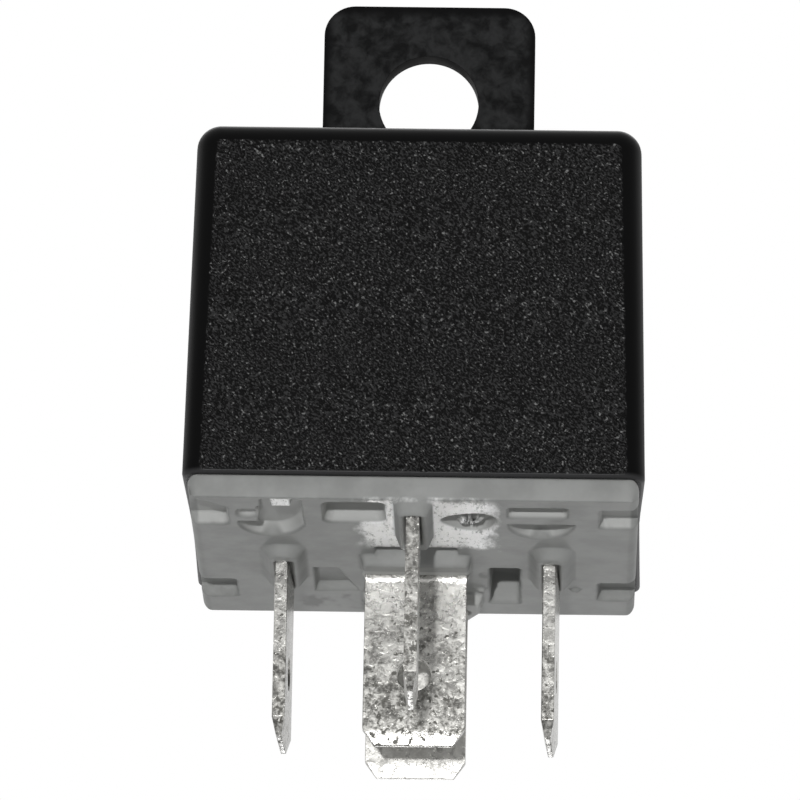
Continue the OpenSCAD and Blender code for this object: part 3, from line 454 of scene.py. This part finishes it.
def rounded(mesh, width, segments, sharp):
    """The mesh with a bevel on the edges that turn by more than sharp, in radians."""
    limit = {"limit_method": "ANGLE", "angle_limit": sharp}
    return baked(mesh, "BEVEL", width=width * MM, segments=segments, **limit)


def smoothed(mesh, sharp):
    """The mesh shaded smooth, with flat faces left flat and edges sharper than an angle in degrees kept."""
    form = bmesh.new()
    form.from_mesh(mesh)
    bmesh.ops.recalc_face_normals(form, faces=form.faces)
    for face in form.faces:
        face.smooth = True
    for edge in form.edges:
        edge.smooth = edge.calc_face_angle(0.0) < math.radians(sharp)
    form.to_mesh(mesh)
    form.free()
    return baked(mesh, "WEIGHTED_NORMAL", mode="FACE_AREA", weight=90, keep_sharp=True)


def quarter_turn(steps, first=0):
    """Angles in even steps up to a quarter turn."""
    return [math.pi / 2 * k / steps for k in range(first, steps + 1)]


def rounded_square(half, radius, arc_steps=10, side_steps=16):
    """Points of a square with round corners, anticlockwise from the right side's lower end."""
    corner = half - radius
    places = [-math.cos(math.pi * k / side_steps) * corner for k in range(side_steps)]
    points = [(half, y) for y in places]
    for angle in quarter_turn(arc_steps)[:-1]:
        points.append((corner + radius * math.cos(angle), corner + radius * math.sin(angle)))
    whole = []
    for c, s in ((1, 0), (0, 1), (-1, 0), (0, -1)):
        whole += [(x * c - y * s, x * s + y * c) for x, y in points]
    return whole


def loft(form, rings):
    """Faces between closed rings of points, with both ends filled."""
    made = [[form.verts.new(point) for point in ring] for ring in rings]
    for low, high in zip(made, made[1:]):
        for k in range(len(low)):
            after = (k + 1) % len(low)
            form.faces.new((low[k], low[after], high[after], high[k]))
    form.faces.new(reversed(made[0]))
    form.faces.new(made[-1])


def to_mesh(form, name):
    """A mesh in metres from a form in millimetres, which is freed."""
    bmesh.ops.scale(form, vec=(MM, MM, MM), verts=form.verts)
    bmesh.ops.recalc_face_normals(form, faces=form.faces)
    mesh = bpy.data.meshes.new(name)
    form.to_mesh(mesh)
    form.free()
    return mesh


def of_type(kind, parts):
    return [part for part in parts if isinstance(part, kind)]


def plate_with_hole(name, outline, hole, low_y, high_y):
    """A plate between two depths, from an outline and one hole in x and z."""
    form = bmesh.new()
    loops = []
    for points in (outline, hole):
        verts = [form.verts.new((x, low_y, z)) for x, z in points]
        loops += [form.edges.new((a, b)) for a, b in zip(verts, verts[1:] + verts[:1])]
    filled = bmesh.ops.triangle_fill(form, edges=loops, use_beauty=True)
    faces = of_type(bmesh.types.BMFace, filled["geom"])
    moved = bmesh.ops.extrude_face_region(form, geom=faces)["geom"]
    verts = of_type(bmesh.types.BMVert, moved)
    bmesh.ops.translate(form, vec=(0, high_y - low_y, 0), verts=verts)
    return to_mesh(form, name)


def joined(first, second):
    """The union of two closed meshes."""
    other = add_object("other", second)
    result = baked(first, "BOOLEAN", operation="UNION", solver="EXACT", object=other)
    bpy.data.objects.remove(other)
    return result


def cut_level(mesh, z):
    """Splits the faces that cross a height."""
    form = bmesh.new()
    form.from_mesh(mesh)
    parts = form.verts[:] + form.edges[:] + form.faces[:]
    bmesh.ops.bisect_plane(form, geom=parts, dist=WELD, plane_co=(0, 0, z * MM), plane_no=(0, 0, 1))
    form.to_mesh(mesh)
    form.free()


# ---- cover ----

COVER = {
    "rim_half": 14.0, "rim_z": 1.45, "edge_r": 1.3, "lip_r": 0.22,
    "top_half": 13.6, "top_z": 23.9, "top_r": 1.5,
    "wall": 1.0, "inner_r": 0.6, "middle_z": 12.0, "lead_in_x": 0.1, "lead_in_z": 0.15,
}
COVER_SHARP_DEG = 38.0
# faces within this half width and below this height are the cover's inside
INSIDE_HALF, INSIDE_Z = 13.2, 23.0
WAIST = {"right": 0.24, "left": 0.16, "from_x": 12.0, "length": 27.0, "fade_z": 5.0}
TAB = {
    "x": 0.1, "half": 6.8, "front": 12.0, "back": 13.6, "low_z": 21.3, "top_z": 39.995,
    "r": 2.0, "edge_r": 0.28, "hole_z": 33.45, "hole_r": 3.2,
}


def cover_rings():
    """Half width, corner radius and height of rings down the inside, round the rim and up the outside."""
    c = COVER
    bend_z = c["top_z"] - c["top_r"]
    rise = bend_z - c["rim_z"]
    ceiling_z = c["top_z"] - c["wall"]

    def outer(z, inset=0.0):
        share = (z - c["rim_z"]) / rise
        half = c["rim_half"] + (c["top_half"] - c["rim_half"]) * share - inset
        return half, c["edge_r"] + (c["top_r"] - c["edge_r"]) * share - inset * 0.5

    def inner(z):
        return outer(z, c["wall"])[0], c["inner_r"]

    corner_z = ceiling_z - c["inner_r"]
    levels = [(inner(corner_z)[0] - c["inner_r"], c["inner_r"] / 2, ceiling_z)]
    for z in (corner_z, c["middle_z"], c["rim_z"] + c["lead_in_z"]):
        levels.append((*inner(z), z))
    levels.append((inner(c["rim_z"])[0] + c["lead_in_x"], c["inner_r"], c["rim_z"]))
    for turn in quarter_turn(3):
        inset = c["lip_r"] * (1 - math.sin(turn))
        z = c["rim_z"] + c["lip_r"] * (1 - math.cos(turn))
        levels.append((*outer(z, inset), z))
    steps = 22
    for k in range(1, steps + 1):
        z = c["rim_z"] + c["lip_r"] + (rise - c["lip_r"]) * k / steps
        levels.append((*outer(z), z))
    for turn in quarter_turn(10, first=1):
        half = c["top_half"] - c["top_r"] * (1 - math.cos(turn))
        levels.append((half, max(c["top_r"] * math.cos(turn), 0.02), bend_z + c["top_r"] * math.sin(turn)))
    return levels


def cover_waist(x, y, z):
    """How far the side walls are drawn in near the rim by shrinkage."""
    along = math.cos(math.pi * max(-0.5, min(0.5, y / WAIST["length"]))) ** 1.5
    low = math.exp(-((z - COVER["rim_z"]) / WAIST["fade_z"]) ** 2)
    side = WAIST["right"] if x > 0 else WAIST["left"]
    return side * along * low if abs(x) > WAIST["from_x"] else 0.0


def cover_shell():
    """The hollow cover without its tab."""
    form = bmesh.new()
    rings = []
    for half, radius, z in cover_rings():
        ring = []
        for x, y in rounded_square(half, radius):
            draw_in = cover_waist(x, y, z)
            ring.append((x - math.copysign(draw_in, x), y, z))
        rings.append(ring)
    loft(form, rings)
    return to_mesh(form, "cover_shell")


def circle_points(x, z, radius, count):
    turns = [2 * math.pi * k / count for k in range(count)]
    return [(x + radius * math.cos(turn), z + radius * math.sin(turn)) for turn in turns]


def tab_plate():
    """The mounting tab with its hole, starting inside the cover's top wall."""
    t = TAB
    left, right, top = t["x"] - t["half"], t["x"] + t["half"], t["top_z"]
    outline = [(left, t["low_z"]), (right, t["low_z"])]
    for centre_x, start in ((right - t["r"], 0.0), (left + t["r"], math.pi / 2)):
        for angle in quarter_turn(12):
            turn = start + angle
            outline.append((centre_x + t["r"] * math.cos(turn), top - t["r"] + t["r"] * math.sin(turn)))
    hole = circle_points(t["x"], t["hole_z"], t["hole_r"], 72)
    plate = plate_with_hole("tab_plate", outline, hole, t["front"], t["back"])
    return rounded(plate, t["edge_r"], segments=4, sharp=0.6)


def add_cover():
    """The cover with its tab; its edges, inside and hole have materials of their own."""
    mesh = joined(cover_shell(), tab_plate())
    cut_level(mesh, COVER["top_z"])
    cut_level(mesh, COVER["top_z"] - COVER["top_r"])
    mesh = smoothed(mesh, COVER_SHARP_DEG)
    put_piece("cover_moulding", mesh, "cover_plastic", "cover")
    mesh.materials.append(EDGE_MATERIAL)
    mesh.materials.append(LIP_MATERIAL)
    edge_index, lip_index = 1, 2
    for face in mesh.polygons:
        x, y, z = (value / MM for value in face.center)
        if z > COVER["top_z"] + 0.005:
            in_hole = math.hypot(x - TAB["x"], z - TAB["hole_z"]) < TAB["hole_r"] + 0.05
            face.material_index = lip_index if in_hole else edge_index
        elif max(abs(x), abs(y)) < INSIDE_HALF and z < INSIDE_Z:
            face.material_index = edge_index


# ---- base: heights z over x and y, where sinking into the base is up ----

BASE = {
    "half": 13.65, "corner": 0.8, "side_r": 0.6, "edge": 0.14, "top_z": 1.45, "deepest": 2.4,
    "plug_half": 12.85, "plug_z": 4.2, "plug_edge": 0.12, "plug_taper": 0.991,
}
FLANGE_LEVELS = (0.9, 1.02, 1.14, 1.26, 1.34, 1.4, 1.45)
GRID_STEP, RIM_BAND, RIM_LINES = 0.1, 0.7, 10
# centre x and y, width, length, corner radius, depth and wall width of the plain pockets
POCKETS = (
    (-3.6, -10.4, 3.6, 4.7, 0.6, 1.25, 0.22),
    (7.53, -10.75, 3.5, 2.4, 0.3, 0.9, 0.2),
    (5.5, 6.6, 1.75, 8.6, 0.2, 2.3, 0.2),
    (-8.1, -9.3, 2.6, 4.8, 0.2, 0.88, 0.18),
    (-10.1, -10.0, 1.05, 1.8, 0.5, 0.4, 0.45),
    (-8.94, -12.4, 0.5, 1.5, 0.1, 0.8, 0.14),
    (-7.11, -12.4, 0.5, 1.5, 0.1, 0.8, 0.14),
    (0.05, -1.6, 5.0, 1.6, 0.1, 0.7, 0.16),
    (0.6, -11.9, 0.36, 2.4, 0.1, 0.9, 0.12),
)
BOW = {"centres_x": (-8.72, 7.75), "y": -8.1, "half_x": 1.95, "half_y": 3.2, "depth": 0.88, "wall": 0.18}
NOTCHES = tuple((x, y, 4.6, 4.2, 0.4) for x in (-13.65, 13.65) for y in (-9.4, 7.8))
NOTCH_DEPTH, NOTCH_WALL = 0.85, 0.2
# corners, depth and wall width of the pockets with slanted sides
SLANTED_POCKETS = (
    ([(-14.2, -13.4), (-13.3, -13.3), (-11.4, -11.2), (-14.2, -11.2)], 0.8, 0.3),
    ([(-6.3, 2.7), (-5.0, 2.7), (-3.8, 8.0), (-6.3, 8.2)], 0.6, 0.3),
)
GATE = {"x": 3.4, "y": -8.45, "half_x": 1.6, "half_y": 2.05, "depth": 0.75, "wall": 0.22}
# centre x and y, width, length, corner radius, height and slope width of the collars
COLLARS = (
    (0.0, -9.3, 1.76, 8.0, 0.4, 0.95, 0.42),
    (8.4, 1.52, 1.75, 7.8, 0.87, 0.72, 0.62),
    (-8.15, 1.52, 1.75, 7.8, 0.87, 0.72, 0.62),
    (0.0, 1.17, 6.6, 3.65, 0.3, 0.75, 0.2),
)
WIDE_COLLAR = [(-3.3, 8.5), (3.95, 8.5), (3.95, 10.7), (3.05, 12.9), (-3.3, 12.9)]
PIPS, PIP_HEIGHT = ((4.0, 7.2), (9.9, 7.2)), 0.2
DIMPLE = {"x": 4.3, "y": 4.0, "half_x": 0.5, "half_y": 0.9, "depth": 0.12}
# centre x and y, and sizes, of the blades where they leave the base, and the gap sunk around them
BLADES = {
    "terminal_30": (0.0, -9.87, 0.8, 6.3),
    "terminal_85": (8.4, 1.9, 0.8, 6.3),
    "terminal_86": (-8.15, 1.9, 0.8, 6.3),
    "terminal_87a": (0.0, 1.9, 6.3, 0.8),
    "terminal_87": (0.0, 10.5, 6.3, 0.8),
}
BLADE_GAP_DEPTH, BLADE_CORNER = 0.45, 0.1


def box_distance(x, y, box):
    """Distance from a rounded box, negative inside it."""
    centre_x, centre_y, width, length, radius = box
    over_x = np.abs(x - centre_x) - width / 2 + radius
    over_y = np.abs(y - centre_y) - length / 2 + radius
    outside = np.hypot(np.maximum(over_x, 0.0), np.maximum(over_y, 0.0))
    return outside + np.minimum(np.maximum(over_x, over_y), 0.0) - radius


def polygon_distance(x, y, points):
    """Distance outside a convex polygon, given anticlockwise."""
    far = np.full_like(x, -1e3)
    for (ax, ay), (bx, by) in zip(points, points[1:] + points[:1]):
        length = math.hypot(bx - ax, by - ay)
        far = np.maximum(far, ((x - ax) * (by - ay) - (y - ay) * (bx - ax)) / length)
    return far


def oval(x, y, shape):
    """Distances across and along an oval, both 1 on its outline."""
    return (x - shape["x"]) / shape["half_x"], (y - shape["y"]) / shape["half_y"]


def ease(value, low, high):
    """A smooth step from 0 at low to 1 at high."""
    share = np.clip((value - low) / (high - low), 0.0, 1.0)
    return share * share * (3.0 - 2.0 * share)


def field_noise(x, y, size, seed, octaves=3):
    """Fractal noise over a grid, where size is that of its largest waves."""
    values = [
        noise.fractal(Vector((a / size, b / size, seed)), 0.8, 2.0, octaves)
        for a, b in zip(x.ravel().tolist(), y.ravel().tolist())
    ]
    return np.array(values).reshape(x.shape)


def sunk(z, distance, depth, wall):
    """A pocket where the distance is negative."""
    return np.maximum(z, depth * (1.0 - ease(distance, -wall / 2, wall / 2)))


def raised(z, distance, height, low, high):
    """A collar where the distance is below low, sloping away up to high."""
    amount = 1.0 - ease(distance, low, high)
    return np.where(amount > 0.001, np.minimum(z * (1.0 - amount), -height * amount), z)


def rolled_off(place, radius):
    """The rise of a round edge along the two sides of the base at +place and -place."""
    over = np.clip(np.abs(place) - BASE["half"] + radius, 0.0, radius)
    return radius - np.sqrt(radius ** 2 - over ** 2)


def torn_gate(x, y, z):
    """The oval recess with the torn end of the sprue in it."""
    across, along = oval(x, y, GATE)
    reach = np.hypot(across, along)
    turn = np.arctan2(along, across)
    outline = GATE["half_x"] * (reach - 1.0 + 0.08 * np.sin(3.0 * turn + 1.0))
    z = sunk(z, outline, GATE["depth"], GATE["wall"])
    inside = 1.0 - ease(reach, 0.6, 0.95)
    shred = np.abs(field_noise(x + 0.4 * y, 1.6 * y, 0.8, 11.3))
    cut = np.abs(np.sin(3.5 * turn + 2.6 * reach)) ** 4
    return z + inside * (0.35 * shred - 0.9 * cut * (1.0 - ease(reach, 0.2, 0.9)))


def base_height(x, y):
    """The underside's height: 0 on the plain face, positive in pockets, negative on collars."""
    z = 0.015 * field_noise(x, y, 4.0, 3.1)
    z += rolled_off(x, BASE["side_r"])
    z += rolled_off(y, BASE["edge"])
    ragged = 0.05 * field_noise(x, y, 0.8, 7.7)
    for *box, depth, wall in POCKETS:
        z = sunk(z, box_distance(x, y, box) + 0.4 * ragged, depth, wall)
    for centre_x in BOW["centres_x"]:
        across, along = oval(x, y, {**BOW, "x": centre_x})
        bow = (np.hypot(across, along) - 1.0) * BOW["half_x"]
        z = sunk(z, np.maximum(bow, BOW["y"] - y), BOW["depth"], BOW["wall"])
    for box in NOTCHES:
        z = sunk(z, box_distance(x, y, box) + ragged, NOTCH_DEPTH, NOTCH_WALL)
    for corners, depth, wall in SLANTED_POCKETS:
        z = sunk(z, polygon_distance(x, y, corners), depth, wall)
    z = torn_gate(x, y, z)
    for *box, height, slope in COLLARS:
        z = raised(z, box_distance(x, y, box), height, -0.12, slope)
    z = raised(z, polygon_distance(x, y, WIDE_COLLAR), 0.75, -0.1, 0.2)
    for centre_x, centre_y in PIPS:
        pip = 1.0 - ease(np.hypot(x - centre_x, y - centre_y), 0.1, 0.45)
        z = np.minimum(z, z - PIP_HEIGHT * pip)
    for blade in BLADES.values():
        gap = box_distance(x, y, (*blade, BLADE_CORNER))
        z += BLADE_GAP_DEPTH * (1.0 - ease(gap, 0.04, 0.16))
    z += DIMPLE["depth"] * (1.0 - ease(np.hypot(*oval(x, y, DIMPLE)), 0.4, 1.0))
    return np.minimum(z, BASE["deepest"])


def grid_lines():
    """Even lines across the base, and closer ones in the band along its rim."""
    inner = BASE["half"] - RIM_BAND
    count = round(2 * inner / GRID_STEP)
    middle = [-inner + 2 * inner * k / count for k in range(count + 1)]
    rim = [inner + RIM_BAND * math.sin(turn) for turn in quarter_turn(RIM_LINES, first=1)]
    return [-v for v in reversed(rim)] + middle + rim


def base_underside():
    """The underside as a fine grid of heights, cut to the flange's round corners."""
    lines = np.array(grid_lines())
    x, y = np.meshgrid(lines, lines)
    centre = BASE["half"] - BASE["corner"]
    over_x, over_y = np.abs(x) - centre, np.abs(y) - centre
    reach = np.hypot(over_x, over_y)
    cut = (over_x > 0.0) & (over_y > 0.0) & (reach > BASE["corner"])
    pull = BASE["corner"] / np.maximum(reach, 1e-6)
    x = np.where(cut, np.sign(x) * (centre + over_x * pull), x)
    y = np.where(cut, np.sign(y) * (centre + over_y * pull), y)
    z = base_height(x, y)
    count = len(lines)
    form = bmesh.new()
    verts = [form.verts.new(place) for place in zip(x.ravel(), y.ravel(), z.ravel())]
    gone = cut.ravel()
    for row in range(count - 1):
        for column in range(count - 1):
            first = row * count + column
            corners = (first, first + count, first + count + 1, first + 1)
            if not all(gone[k] for k in corners):
                form.faces.new([verts[k] for k in corners])
    bmesh.ops.delete(form, geom=[v for v in form.verts if not v.link_faces], context="VERTS")
    bmesh.ops.remove_doubles(form, verts=form.verts, dist=0.002)
    bmesh.ops.dissolve_degenerate(form, edges=form.edges, dist=0.001)
    return form


def flange_inset(z, radius):
    """How far the flange's upper edge is rounded inwards at a height."""
    rise = z - BASE["top_z"] + radius
    return radius - math.sqrt(max(radius ** 2 - rise ** 2, 0.0)) if rise > 0 else 0.0


def add_base():
    """The underside, drawn up round its rim through the flange to the plug inside the cover."""
    b = BASE
    form = base_underside()
    rim = [edge for edge in form.edges if edge.is_boundary]
    # height, insets along x and y, and scale of each ring
    levels = [(z, flange_inset(z, b["side_r"]), flange_inset(z, b["edge"]), 1.0) for z in FLANGE_LEVELS]
    levels += [
        (b["top_z"], b["side_r"], b["edge"], b["plug_half"] / b["half"]),
        (b["plug_z"] - b["plug_edge"], 0.0, 0.0, 1.0),
        (b["plug_z"], 0.0, 0.0, b["plug_taper"]),
    ]
    for z, inset_x, inset_y, scale in levels:
        parts = bmesh.ops.extrude_edge_only(form, edges=rim)["geom"]
        rim = [edge for edge in of_type(bmesh.types.BMEdge, parts) if edge.is_boundary]
        for vert in of_type(bmesh.types.BMVert, parts):
            x, y, _ = vert.co
            x = math.copysign(min(abs(x), b["half"] - inset_x), x) * scale
            y = math.copysign(min(abs(y), b["half"] - inset_y), y) * scale
            vert.co = (x, y, z)
    bmesh.ops.holes_fill(form, edges=rim, sides=0)
    mesh = to_mesh(form, "base_moulding")
    for face in mesh.polygons:
        face.use_smooth = len(face.vertices) < 5
    put_piece("base_moulding", mesh, "base_plastic", "base")


# ---- pieces refined from CAD shapes ----

# width of each piece's rounded edges
ROUNDING = {
    "terminal_30": 0.13, "terminal_85": 0.07, "terminal_86": 0.07,
    "terminal_87": 0.07, "terminal_87a": 0.07,
    "yoke": 0.15, "core": 0.12, "bobbin": 0.12, "armature": 0.12, "leaf_spring": 0.03,
}
REFINED_SHARP_DEG = 42.0
COPLANAR_DEG = 1.5
# two blades are turned about their middles, below a height inside the base
BLADE_TURN_DEG = {"terminal_86": -2.0, "terminal_85": -2.4}
TURN_BELOW_Z = 1.3


def refined(node, turn_deg=0.0, centre=(0.0, 0.0)):
    """A CAD node's shape with rounded edges, and its lower part turned about a vertical line."""
    form = bmesh.new()
    form.from_mesh(frame["nodes"][node].data)
    bmesh.ops.remove_doubles(form, verts=form.verts, dist=WELD)
    flat = math.radians(COPLANAR_DEG)
    bmesh.ops.dissolve_limit(form, angle_limit=flat, verts=form.verts, edges=form.edges)
    spin = Matrix.Rotation(math.radians(turn_deg), 4, "Z")
    axis = Vector((*centre, 0.0)) * MM
    for vert in form.verts:
        if turn_deg and vert.co.z < TURN_BELOW_Z * MM:
            vert.co = axis + spin @ (vert.co - axis)
    mesh = bpy.data.meshes.new(node + "_finished")
    form.to_mesh(mesh)
    form.free()
    return smoothed(rounded(mesh, ROUNDING[node], segments=3, sharp=0.5), REFINED_SHARP_DEG)


def add_refined_pieces():
    for node in sorted(BLADES):
        mesh = refined(node, BLADE_TURN_DEG.get(node, 0.0), BLADES[node][:2])
        piece = put_piece(node + "_blade", mesh, SLOT_OF[node], node)
        piece.data.materials[0] = TIN_OF.get(node, MATERIALS["terminal_tin"])
    for node in ("yoke", "core", "bobbin"):
        put_piece(node + "_finished", refined(node), SLOT_OF[node], node)
    put_piece(
        "armature_finished", refined("armature"), SLOT_OF["armature"], "armature", body="armature_assembly"
    )
    spring = put_piece(
        "leaf_spring_bending", refined("leaf_spring"), SLOT_OF["leaf_spring"], "leaf_spring", body=None
    )
    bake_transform(spring)


add_cover()
add_base()
add_refined_pieces()


# ---- camera, light and floor, in metres ----

FLOOR_HALF, FLOOR_Z = 20.0, -0.6
FLOOR_WHITE_SHARE = 0.86
# direction that the soft light grows along, and where on it the growth starts and ends
BRIGHT_SIDE, GROWTH = (0.0, 0.8, -0.6), (-0.8, 0.6)


def add_camera():
    """The camera of the photo, matched to the relay's corners."""
    place = Vector((0.009075, -0.496436, -0.132291))
    right = Vector((0.999724, 0.015551, 0.01761))
    up = Vector((-0.012636, -0.276001, 0.961074))
    back = right.cross(up)
    data = bpy.data.cameras.new("camera")
    data.sensor_width = 36.0
    data.lens = 373.8
    data.clip_start = 0.01
    camera = add_object("camera", data)
    camera.matrix_world = Matrix.Translation(place) @ Matrix((right, up, back)).transposed().to_4x4()
    bpy.context.scene.camera = camera


def add_lamp(name, place, target, size, watts):
    """A rectangular lamp that faces its target, hidden from the camera."""
    data = bpy.data.lights.new(name, "AREA")
    data.shape = "RECTANGLE"
    data.size, data.size_y = size
    data.energy = watts
    lamp = add_object(name, data)
    lamp.location = place
    lamp.visible_camera = False
    lamp.rotation_euler = (Vector(target) - Vector(place)).to_track_quat("-Z", "Y").to_euler()


def add_world(front, back):
    """A white background, and soft light that grows from front to back along BRIGHT_SIDE."""
    world = bpy.data.worlds.new("studio")
    bpy.context.scene.world = world
    world.use_nodes = True
    world.node_tree.nodes.clear()
    w = Nodes(world.node_tree)
    towards = w.add("ShaderNodeVectorMath", operation="DOT_PRODUCT")
    w.link(w.add("ShaderNodeTexCoord").outputs["Generated"], towards.inputs[0])
    w.link(BRIGHT_SIDE, towards.inputs[1])
    soft, white = (w.add("ShaderNodeBackground") for _ in range(2))
    w.link(WHITE, soft.inputs["Color"])
    w.link(WHITE, white.inputs["Color"])
    w.link(w.span(towards.outputs["Value"], *GROWTH, front, back), soft.inputs["Strength"])
    w.show(w.add("ShaderNodeOutputWorld"), w.seen(), soft, white)


def add_floor():
    """A floor far below, which looks nearly as white as the background."""
    mesh = bpy.data.meshes.new("floor")
    form = bmesh.new()
    bmesh.ops.create_grid(form, x_segments=8, y_segments=8, size=FLOOR_HALF)
    form.to_mesh(mesh)
    form.free()
    floor = add_object("floor", mesh)
    floor.location = (0.0, 0.0, FLOOR_Z)
    s = Shader("pale_floor", (0.8, 0.8, 0.8), 0.8, spec=0.2)
    glow = s.add("ShaderNodeEmission")
    s.link(WHITE, glow.inputs["Color"])
    s.show(s.tree.nodes["Material Output"], s.times(s.seen(), FLOOR_WHITE_SHARE), s.bsdf, glow)
    mesh.materials.append(s.mat)


bpy.context.scene.view_settings.view_transform = "Standard"
add_camera()
add_world(front=0.26, back=0.56)
add_floor()
# name, place, target, size and watts
add_lamp("front", (-0.036, -0.592, -0.097), (0.0, 0.0, 0.005), (0.012, 0.012), 2.05)
add_lamp("left", (-0.45, 0.34, 0.1), (0.0, 0.0, 0.01), (0.5, 0.5), 0.35)
add_lamp("right", (0.45, 0.34, 0.1), (0.0, 0.0, 0.01), (0.5, 0.5), 0.3)
add_lamp("top", (0.0, 0.45, 0.36), (0.0, 0.0, 0.01), (0.5, 0.3), 0.35)
add_lamp("under", (-0.004, 0.48, -0.134), (0.0, 0.0, 0.0), (0.05, 0.03), 0.06)
